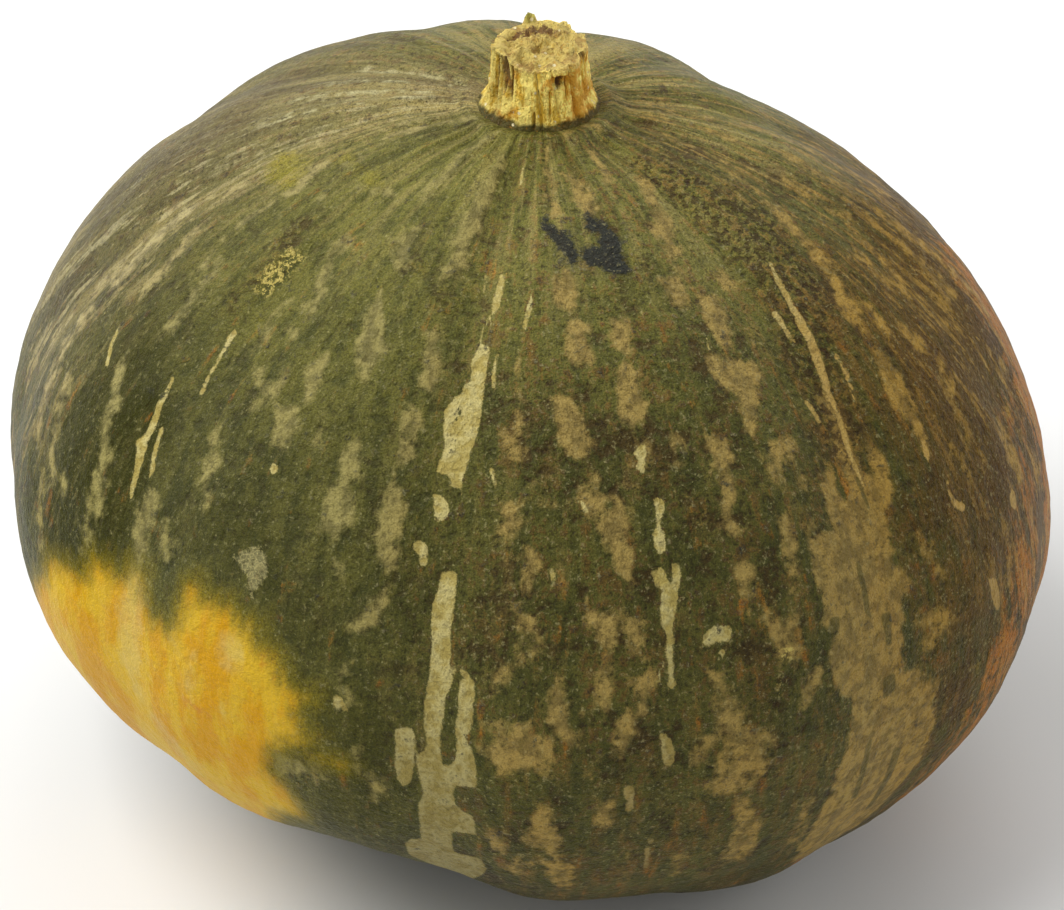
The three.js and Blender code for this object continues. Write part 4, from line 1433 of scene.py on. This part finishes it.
@dataclass(frozen=True)
class CorkFinish:
    """The dry stalk: yellow-tan cork with brown furrows, darkened by painted shade, and a spongy
    broken end.
    """

    tan: tuple = srgb(204, 166, 52)
    pale: tuple = srgb(245, 222, 120)
    amber: tuple = srgb(202, 140, 30)
    furrow: tuple = srgb(84, 52, 16)
    pit: tuple = srgb(112, 76, 40)
    sponge: tuple = srgb(206, 182, 100)
    mould: tuple = srgb(148, 112, 56)
    # Dark green-brown at the foot: partly moss, partly painted shade.
    moss_and_shade: tuple = srgb(62, 60, 26)
    wisp: tuple = srgb(192, 186, 84)
    dot: tuple = srgb(240, 226, 176)
    specular: float = 0.3

    def make(self) -> bpy.types.Material:
        """Builds the stalk's material.

        Returns:
            A material that reads the furrows, the pit and the foot stored on the stalk.
        """
        desk = Desk("cork")
        place = desk.where()
        along = desk.noise(desk.stretched(place, 1.0, 0.22, 0.01), 900.0, 4.0, 0.65)
        blotch = desk.noise(place, 300.0, 4.0, 0.65)
        fine = desk.noise(place, 1500.0, 3.0, 0.7)
        colour = desk.blend(desk.step(along, 0.38, 0.54), self.tan, self.pale)
        ripe = desk.math("ADD", blotch, desk.product(desk.attribute("ripe"), 0.4))
        colour = desk.blend(desk.step(ripe, 0.52, 0.66, 0.0, 0.85), colour, self.amber)
        bruise = desk.noise(place, 420.0, 3.0, 0.7)
        spongy = desk.blend(desk.step(bruise, 0.48, 0.62, 0.0, 0.85), self.sponge, self.mould)
        cut = desk.swayed(desk.attribute("cut"), (fine, 1.4), (blotch, 2.2))
        colour = desk.blend(desk.step(cut, 0.40, 0.85, 0.0, 0.85), colour, spongy)
        # Painted light and shade on the side: lighter all round, darker on the left.
        colour = desk.shaded(colour, desk.attribute("tone"))
        # Brown in the furrows: partly the cork's own brown, partly painted shade in the grooves.
        furrow = desk.swayed(desk.attribute("furrow"), (along, 0.9), (fine, 0.2))
        colour = desk.blend(desk.step(furrow, 0.30, 0.82, 0.0, 0.9), colour, self.furrow)
        colour = desk.blend(desk.attribute("wisp"), colour, self.wisp)
        # Dark green-brown at the foot: partly moss, partly painted shade under the flare where the
        # stalk meets the crown.
        foot = desk.swayed(desk.attribute("foot"), (blotch, 1.2))
        colour = desk.blend(desk.step(foot, 0.20, 0.7, 0.0, 0.92), colour, self.moss_and_shade)
        # Dark brown pit in the broken end, and painted shade in the hole under the lip.
        pit = desk.swayed(desk.attribute("pit"), (fine, 1.6), (blotch, 1.4))
        colour = desk.blend(desk.step(pit, 0.35, 0.7, 0.0, 0.9), colour, self.pit)
        dots = desk.step(desk.cells(place, 460.0), 0.17, 0.10)
        colour = desk.blend(desk.product(dots, desk.step(blotch, 0.40, 0.46)), colour, self.dot)
        colour = desk.blend(desk.step(fine, 0.44, 0.32, 0.0, 0.45), colour, self.amber)
        desk.plug(desk.shader.inputs["Base Color"], colour)
        desk.plug(desk.shader.inputs["Roughness"], desk.step(along, 0.3, 0.7, 0.5, 0.8))
        desk.shader.inputs["Specular IOR Level"].default_value = self.specular
        normal = desk.bump(along, 0.0010, 0.8)
        normal = desk.bump(blotch, 0.0012, 0.8, normal)
        normal = desk.bump(fine, 0.0007, 0.9, normal)
        desk.plug(desk.shader.inputs["Normal"], normal)
        return desk.material


# ---- Pieces -------------------------------------------------------------------------------


@dataclass
class Fruit:
    """The whole fruit as one sculpted skin that stands for the solid of the same form."""

    axis_x: float
    axis_y: float
    shape: FruitShape = FruitShape()
    segments: int = 480
    rings: int = 206
    front_crowding: float = 2.4
    front_spread: float = 75.0
    shoulder_crowding: float = 1.0
    shoulder_latitude: float = 22.0
    shoulder_spread: float = 48.0
    lump_height: float = 0.45
    lump_size: float = 17.0
    grain_height: float = 0.08
    grain_size: float = 2.4
    waver_size: float = 4.5
    scar_radius: float = 6.5
    streak_reach: float = 8.0
    spot_reach: float = 20.0
    brown_azimuth: float = 84.0
    sheen_azimuth: float = -106.0

    def build(self) -> bpy.types.Object:
        """Adds a ball, crowds its faces towards the front and crown, and sculpts it.

        Returns:
            The fruit's object, at the origin.
        """
        deselect_all()
        bpy.ops.mesh.primitive_uv_sphere_add(segments=self.segments, ring_count=self.rings,
                                             radius=self.shape.waist_radius * MM)
        fruit = bpy.context.object
        fruit.name = fruit.data.name = "squash_rind"
        azimuth, latitude = self.crowded(read_points(fruit))
        smooth = self.shape.skin(azimuth, latitude, np.zeros_like(azimuth))
        waver = np.stack([lumps(smooth + 40.0, self.waver_size),
                          lumps(smooth - 90.0, self.waver_size)], axis=-1)
        covers = self.covers(MarkField(azimuth, latitude, waver))
        covers["scar"], covers["crack"] = self.blossom(smooth, latitude, waver)
        relief = self.relief(smooth, azimuth, latitude, covers)
        grown = self.shape.skin(azimuth, latitude, relief)
        write_points(fruit, grown + np.array([self.axis_x, self.axis_y, 0.0]))
        store(fruit, "flow", round_axis(azimuth, 1.0, np.radians(latitude)))
        for name, values in covers.items():
            store(fruit, name, values)
        bpy.ops.object.shade_smooth()
        return fruit

    @staticmethod
    def crowd(even: np.ndarray, target: np.ndarray, density: np.ndarray) -> np.ndarray:
        """Moves evenly spaced angles so that they lie closer where the density is high.

        Args:
            even: Angles between the ends of `target`.
            target: Rising angles at which the density is given.
            density: How close the moved angles lie, at each of `target`.

        Returns:
            The moved angles; the two ends stay where they are.
        """
        total = np.concatenate([[0.0], np.cumsum(0.5 * (density[1:] + density[:-1]))])
        span = target[0] + (target[-1] - target[0]) * total / total[-1]
        return np.interp(even, span, target)

    def crowded(self, points: np.ndarray) -> tuple[np.ndarray, np.ndarray]:
        """Returns each vertex's azimuth and latitude after moving them to where detail is.

        Args:
            points: Vertices of an even sphere.

        Returns:
            Azimuths and latitudes in degrees.
        """
        azimuth = np.degrees(np.arctan2(points[:, 0], -points[:, 1]))
        distance = np.linalg.norm(points, axis=1)
        latitude = np.degrees(np.arcsin(np.clip(points[:, 2] / distance, -1.0, 1.0)))
        around = np.linspace(-180.0, 180.0, 1441)
        upward = np.linspace(-90.0, 90.0, 721)
        front = 1.0 + self.front_crowding * np.exp(-((around / self.front_spread) ** 4))
        offset = (upward - self.shoulder_latitude) / self.shoulder_spread
        shoulder = 1.0 + self.shoulder_crowding * np.exp(-(offset ** 4))
        return self.crowd(azimuth, around, front), self.crowd(latitude, upward, shoulder)

    def covers(self, field: MarkField) -> dict[str, np.ndarray]:
        """Returns every kind of mark, and the broad tints, as one number per vertex.

        Args:
            field: The field that measures the marks.

        Returns:
            The numbers by their attribute's name.
        """
        streaks = CREAM_MARKS + field.hidden_streaks(self.shape.grooves)
        flecks = FLECK_MARKS + field.hidden_flecks()
        covers = {MarkKind.CREAM.value: field.edge(streaks, self.streak_reach),
                  MarkKind.FLECK.value: field.cover(Layer(flecks, 0.7, 0.7)),
                  MarkKind.GROUND.value: field.edge(GROUND_MARKS, self.spot_reach)}
        for kind, layer in SOFT_LAYERS.items():
            covers[kind.value] = field.cover(layer)
        azimuth, latitude = field.azimuth, field.latitude
        right = np.abs(turn_between(azimuth, self.brown_azimuth))
        brown = (1.0 - ease(10.0, 74.0, right)) * (1.0 - 0.65 * ease(32.0, 60.0, latitude))
        under = 1.0 - ease(-8.0, 26.0, latitude)
        covers["brown"] = np.maximum(brown, 0.4 * under * ease(-24.0, 6.0, azimuth))
        covers["busy"] = ease(14.0, 46.0, np.abs(turn_between(azimuth, -42.0)))
        covers["stray"] = self.strayed(azimuth)
        # Painted sheen: a pale grey where light grazes the far left side.
        far_left = fan(azimuth, self.sheen_azimuth, 28.0)
        covers["painted_sheen"] = far_left * ease(6.0, 26.0, latitude)
        return covers

    @staticmethod
    def strayed(azimuth: np.ndarray) -> np.ndarray:
        """Returns how thickly stray flecks are strewn: on the right, the back and the far left."""
        behind = 1.0 - ease(54.0, 88.0, np.abs(turn_between(azimuth, 130.0)))
        return np.clip(0.1 + 0.65 * behind + 0.55 * fan(azimuth, -84.0, 13.0), 0, 1)

    def blossom(self, points: np.ndarray, latitude: np.ndarray,
                waver: np.ndarray) -> tuple[np.ndarray, np.ndarray]:
        """Finds the corky scar that the flower left under the fruit.

        Args:
            points: Points on the skin about the fruit's own axis.
            latitude: Their latitudes.
            waver: Smooth noise at each point.

        Returns:
            How far the scar covers each point, and how far a crack in it does.
        """
        out = np.hypot(points[:, 0], points[:, 1])
        ragged = out + 2.0 * waver[:, 0]
        scar = 1.0 - ease(self.scar_radius - 2.0, self.scar_radius + 1.0, ragged)
        scar = scar * (latitude < 0.0)
        turn = np.arctan2(points[:, 0], -points[:, 1])
        split = np.abs(np.sin(4.5 * turn + 2.0 * waver[:, 1] + 0.25 * out))
        return scar, scar * np.clip(1.0 - 2.6 * split, 0.0, 1.0) * ease(0.6, 2.4, out)

    def relief(self, points: np.ndarray, azimuth: np.ndarray, latitude: np.ndarray,
               covers: dict[str, np.ndarray]) -> np.ndarray:
        """Returns the fine relief of the skin in millimetres.

        Args:
            points: Points on the skin before the relief, in millimetres.
            azimuth: Degrees round the axis.
            latitude: Degrees above the widest level.
            covers: The marks' numbers by name.

        Returns:
            Millimetres at each place.
        """
        open_skin = ease(3.0, 10.0, 90.0 - latitude) * ease(-76.0, -60.0, latitude)
        relief = self.lump_height * lumps(points, self.lump_size) * open_skin
        relief = relief + self.shape.pleats(azimuth, latitude)
        grain = lumps(points, self.grain_size, 2)
        relief = relief + self.grain_height * grain * open_skin
        relief = relief + 0.25 * covers["rough"] * grain
        relief = relief + 0.35 * covers["scab"] + 0.4 * covers["crust"] * (0.6 + grain)
        relief = relief + 0.3 * covers["scar"] - 0.5 * covers["crack"]
        return relief

    def dress(self, fruit: bpy.types.Object) -> None:
        """Gives the fruit its finish and ties it to the frame.

        Args:
            fruit: The fruit's object.
        """
        fruit.data.materials.clear()
        fruit.data.materials.append(RindFinish().make())
        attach(fruit, "root")
        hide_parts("fruit")


@dataclass
class Stem:
    """The corky stub of the stalk with its furrows, ragged rim and broken end."""

    axis_x: float
    axis_y: float
    seat_height: float = SEAT_HEIGHT
    foot_radius: float = 10.2
    rim_radius: float = 7.35
    flare_height: float = 4.2
    height: float = 11.3
    hole_azimuth: float = 25.0
    hole_share: float = 0.72
    hole_depth: float = 1.5
    lip_azimuth: float = 28.0
    lip_reach: float = 0.9
    pit_azimuth: float = -176.0
    crease_azimuth: float = -128.0
    fibre_azimuth: float = -168.0
    fibre_height: float = 1.3
    furrows: tuple[tuple[float, float, float, float], ...] = (
        (-63.0, 3.2, 0.35, 0.90), (-47.0, 2.4, 0.55, 0.90), (-36.0, 1.8, 0.50, 0.92),
        (-6.0, 1.4, 0.05, 0.22), (13.0, 1.2, 0.20, 0.55), (34.0, 1.8, 0.50, 0.85),
        (-120.0, 3.0, 0.20, 0.85), (110.0, 3.0, 0.30, 0.90), (170.0, 2.6, 0.30, 0.80))
    around: int = 288
    side_rings: int = 56
    top_rings: int = 26

    def build(self) -> bpy.types.Object:
        """Extrudes a ring up the side and in over the cut end, then sculpts it.

        Returns:
            The stalk's object, at the origin.
        """
        deselect_all()
        bpy.ops.mesh.primitive_circle_add(vertices=self.around, radius=self.foot_radius * MM,
                                          fill_type="NOTHING")
        stem = bpy.context.object
        stem.name = stem.data.name = "squash_stalk"
        bpy.ops.object.mode_set(mode="EDIT")
        bpy.ops.mesh.select_all(action="SELECT")
        rise = self.height / self.side_rings * MM
        for _ in range(self.side_rings):
            bpy.ops.mesh.extrude_region_move(TRANSFORM_OT_translate={"value": (0, 0, rise)})
        for ring in range(self.top_rings, 1, -1):
            bpy.ops.mesh.extrude_region_move()
            share = (ring - 1) / ring
            bpy.ops.transform.resize(value=(share, share, 1.0))
        bpy.ops.mesh.extrude_region_move()
        bpy.ops.mesh.merge(type="CENTER")
        bpy.ops.mesh.select_all(action="SELECT")
        bpy.ops.mesh.normals_make_consistent(inside=False)
        bpy.ops.object.mode_set(mode="OBJECT")
        self.sculpt(stem)
        self.close_foot()
        bpy.ops.object.shade_smooth()
        return stem

    @staticmethod
    def close_foot() -> None:
        """Fills the active stalk's open ring at the foot, which sits on the crown."""
        bpy.ops.object.mode_set(mode="EDIT")
        bpy.ops.mesh.select_all(action="DESELECT")
        bpy.ops.mesh.select_non_manifold()
        bpy.ops.mesh.edge_face_add()
        bpy.ops.mesh.select_all(action="SELECT")
        bpy.ops.mesh.normals_make_consistent(inside=False)
        bpy.ops.object.mode_set(mode="OBJECT")

    def rim_lift(self, azimuth: np.ndarray) -> np.ndarray:
        """Returns how far the ragged rim stands above or below the cut.

        Args:
            azimuth: Degrees round the axis.

        Returns:
            Millimetres at each place.
        """
        a = np.radians(azimuth)
        ring = np.stack([np.sin(a), np.cos(a), np.zeros_like(a)], axis=-1) * self.rim_radius
        lift = 0.7 * fan(azimuth, 160.0, 30.0)
        lift = lift + 0.5 * fan(azimuth, -75.0, 26.0)
        lift = lift - 1.1 * fan(azimuth, -10.0, 32.0)
        lift = lift - 0.5 * fan(azimuth, 50.0, 22.0)
        return lift + 0.5 * lumps(ring, 3.0) + 0.14 * lumps(ring + 30.0, 1.1)

    def fibre(self, azimuth: np.ndarray) -> np.ndarray:
        """Returns the small torn fibre that stands on the back of the rim.

        Args:
            azimuth: Degrees round the axis.

        Returns:
            The fibre's height in millimetres.
        """
        off = turn_between(azimuth, self.fibre_azimuth)
        blade = self.fibre_height * (1.0 - ease(5.0, 10.0, np.abs(off)))
        return blade + 0.3 * fan(azimuth, self.fibre_azimuth + 4.0, 4.0)

    def ridges(self, azimuth: np.ndarray, share: np.ndarray) -> np.ndarray:
        """Returns the lengthwise ridges, 1 on a crest and 0 in a furrow.

        Args:
            azimuth: Degrees round the axis.
            share: Height up the stalk, from 0 to 1.

        Returns:
            One number per vertex.
        """
        drum = round_axis(azimuth + 9.0 * share, self.rim_radius, 1.1 * share)
        broad = np.clip(2.6 * np.abs(lumps(drum, 3.4, 2)), 0.0, 1.0) ** 0.7
        narrow = np.clip(2.8 * np.abs(lumps(drum + 50.0, 1.5, 2)), 0.0, 1.0) ** 0.7
        crest = 0.6 * broad + 0.4 * narrow
        for middle, width, low, high in self.furrows:
            reach = ease(low - 0.2, low, share) * (1.0 - ease(high, high + 0.1, share))
            crest = crest * (1.0 - fan(azimuth, middle, width) * reach)
        return crest

    def hole(self, azimuth: np.ndarray, share: np.ndarray) -> np.ndarray:
        """Returns the small hole under the lip of the rim."""
        across = fan(azimuth, self.hole_azimuth, 5.0)
        return across * bell((share - self.hole_share) * self.height, 1.2)

    def side(self, azimuth: np.ndarray, share: np.ndarray, ridges: np.ndarray) -> np.ndarray:
        """Returns the radius of the flared, furrowed side with its hole and lip.

        Args:
            azimuth: Degrees round the axis.
            share: Height up the stalk, from 0 to 1.
            ridges: 1 on a crest and 0 in a furrow.

        Returns:
            Millimetres from the axis.
        """
        flare = np.exp(-share * self.height / self.flare_height)
        foot = self.foot_radius - 1.7 * fan(azimuth, 0.0, 50.0)
        side = self.rim_radius + (foot - self.rim_radius) * flare
        depth = 0.75 * ease(0.0, 0.25, share) + 0.45
        side = side - depth * (1.0 - ridges) + 0.35
        lip = fan(azimuth, self.lip_azimuth, 18.0) * ease(0.82, 0.88, share)
        return side - self.hole_depth * self.hole(azimuth, share) + self.lip_reach * lip

    def hollows(self, azimuth: np.ndarray, spread: np.ndarray,
                fall: np.ndarray) -> tuple[np.ndarray, np.ndarray]:
        """Returns the brown pit and the narrow crease in the broken end.

        Args:
            azimuth: Degrees round the axis.
            spread: Distance from the axis, 1 at the rim.
            fall: 0 at the rim, rising to 1 inside it.

        Returns:
            The strength of the pit and of the crease.
        """
        pit = fan(azimuth, self.pit_azimuth, 48.0) * bell(spread - 0.66, 0.26)
        crease = fan(azimuth, self.crease_azimuth, 26.0) * bell(spread - 0.74, 0.07)
        return pit * fall, crease * fall

    def sculpt(self, stem: bpy.types.Object) -> None:
        """Moves the plain drum's vertices to the grown form and stores its marks.

        Args:
            stem: The stalk's object, still a plain drum.
        """
        points = read_points(stem)
        azimuth = np.degrees(np.arctan2(points[:, 0], -points[:, 1]))
        spread = np.hypot(points[:, 0], points[:, 1]) / self.foot_radius
        share = np.clip(points[:, 2] / self.height, 0.0, 1.0)
        on_top = spread < 0.999
        inner = np.clip(1.0 - spread, 0.0, 1.0)
        fall = ease(0.04, 0.26, inner)
        ridges = self.ridges(azimuth, share)
        side = self.side(azimuth, share, ridges)
        rim, fibre = self.rim_lift(azimuth), self.fibre(azimuth)
        wall = share * self.height + rim * share ** 4
        wall = wall + fibre * share ** 40
        disc = round_axis(azimuth, spread, share)
        grit = lumps(disc * self.rim_radius, 1.4, 3)
        clods = lumps(disc * self.rim_radius + 70.0, 3.2, 2)
        pit, crease = self.hollows(azimuth, spread, fall)
        lift = rim * (1.0 - 0.5 * ease(0.0, 0.6, inner))
        lift = lift + fibre * (1.0 - ease(0.0, 0.08, inner))
        top = self.height + lift + fall * (0.8 * grit + 0.9 * clods - 0.1)
        top = top - 0.4 * pit - 0.8 * crease
        level = side + (self.rim_radius - side) * ease(0.0, 0.22, inner)
        radius = np.where(on_top, spread * level, side + 0.28 * grit)
        height = np.where(on_top, top, wall)
        grown = round_axis(azimuth, radius, self.seat_height + height)
        write_points(stem, grown + np.array([self.axis_x, self.axis_y, 0.0]))
        hole = self.hole(azimuth, share)
        # Painted shade: the furrows darken more on the left and higher up, and the hole under the
        # lip is dark.
        left = fan(azimuth, -50.0, 30.0)
        furrow = np.where(on_top, 0.0, 1.0 - ridges) * (0.35 + 0.65 * share)
        # Painted light and shade: the side is lighter all round and darker on the left.
        shade = 1.42 - 0.56 * fan(azimuth, -66.0, 42.0)
        tuft = ease(0.8, 1.6, fibre) * ease(0.94, 1.0, share) * (1.0 - ease(0.0, 0.12, inner))
        marks = {
            "furrow": furrow * (0.8 + 0.3 * left) + hole * ~on_top,
            "cut": np.maximum(ease(-0.06, 0.08, inner) * on_top, 0.75 * ease(0.80, 1.0, share)),
            "tone": np.where(on_top, 1.0, shade),
            "ripe": 0.30 * fan(azimuth, 62.0, 36.0) * ~on_top,
            "pit": np.where(on_top, np.maximum(0.85 * pit, 1.5 * crease), hole),
            "wisp": tuft,
            # Painted shade under the flare at the foot, with the green-brown of the joint.
            "foot": bell(share, 0.13) * ~on_top,
        }
        for name, values in marks.items():
            store(stem, name, values)

    def dress(self, stem: bpy.types.Object) -> None:
        """Gives the stalk its finish and ties it to the frame.

        Args:
            stem: The stalk's object.
        """
        stem.data.materials.clear()
        stem.data.materials.append(CorkFinish().make())
        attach(stem, "root")
        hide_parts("stem")


# ---- Studio -------------------------------------------------------------------------------


@dataclass
class Studio:
    """A pale floor, soft light and the camera, round a squash on its axis."""

    axis_x: float
    axis_y: float
    camera_height: float = CAMERA_HEIGHT
    camera_distance: float = 700.0
    aim: tuple[float, float, float] = (-1.2, 0.0, 58.6)
    lens: float = 137.6
    floor_size: float = 30.0
    floor_colour: tuple[float, float, float, float] = (0.86, 0.86, 0.85, 1.0)
    floor_roughness: float = 0.9
    surround_strength: float = 0.45

    def build(self) -> None:
        """Sets up the floor, the lights and the camera."""
        self.floor()
        self.lights()
        self.camera()
        bpy.context.scene.view_settings.view_transform = "Standard"

    def floor(self) -> None:
        """Adds the pale floor under the fruit."""
        deselect_all()
        bpy.ops.mesh.primitive_plane_add(size=self.floor_size)
        floor = bpy.context.object
        floor.name = "studio_floor"
        desk = Desk("studio_paper")
        desk.shader.inputs["Base Color"].default_value = self.floor_colour
        desk.shader.inputs["Roughness"].default_value = self.floor_roughness
        floor.data.materials.append(desk.material)

    def lights(self) -> None:
        """Adds a bright surround and the soft panels."""
        world = bpy.data.worlds.new("studio_surround")
        world.use_nodes = True
        surround = world.node_tree.nodes["Background"]
        surround.inputs["Color"].default_value = (1.0, 1.0, 1.0, 1.0)
        surround.inputs["Strength"].default_value = self.surround_strength
        bpy.context.scene.world = world
        self.panel("key_panel", (-0.68, -0.16, 1.12), 0.9, 13.6)
        self.panel("back_panel", (0.30, 0.90, 0.90), 0.8, 4.0)
        self.panel("side_panel", (-0.90, 0.75, 0.70), 0.7, 4.2)
        self.panel("edge_panel", (1.00, 0.40, 0.40), 0.6, 2.4)

    def panel(self, name: str, place: tuple[float, float, float], size: float,
              power: float) -> None:
        """Adds one square light panel that faces the fruit.

        Args:
            name: The light's name.
            place: Where it hangs, in metres.
            size: Length of its side, in metres.
            power: Its power in watts.
        """
        light = bpy.data.lights.new(name, "AREA")
        light.size = size
        light.energy = power
        panel = bpy.data.objects.new(name, light)
        panel.location = place
        aim = Vector((self.axis_x * MM, self.axis_y * MM, self.aim[2] * MM)) - Vector(place)
        panel.rotation_euler = aim.to_track_quat("-Z", "Y").to_euler()
        bpy.context.collection.objects.link(panel)

    def camera(self) -> None:
        """Adds the camera, looking down at the front of the fruit."""
        data = bpy.data.cameras.new("camera")
        data.lens = self.lens
        data.clip_start = 0.01
        camera = bpy.data.objects.new("camera", data)
        aim = Vector((self.axis_x + self.aim[0], self.axis_y + self.aim[1], self.aim[2])) * MM
        down = math.radians(self.camera_height)
        back = Vector((0.0, -math.cos(down), math.sin(down))) * self.camera_distance * MM
        camera.location = aim + back
        camera.rotation_euler = (-back).to_track_quat("-Z", "Y").to_euler()
        bpy.context.collection.objects.link(camera)
        bpy.context.scene.camera = camera


# ---- Making it all ------------------------------------------------------------------------


def main() -> None:
    """Builds the studio and both pieces in order."""
    logging.basicConfig(level=logging.INFO, format="%(name)s: %(message)s")
    low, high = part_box("stem")
    axis_x = 0.5 * (low[0] + high[0]) / MM
    axis_y = 0.5 * (low[1] + high[1]) / MM
    Studio(axis_x, axis_y).build()
    for maker in (Fruit(axis_x, axis_y), Stem(axis_x, axis_y)):
        piece = maker.build()
        maker.dress(piece)
        log.info("%s: %d faces", piece.name, len(piece.data.polygons))


if __name__ == "__main__":
    main()
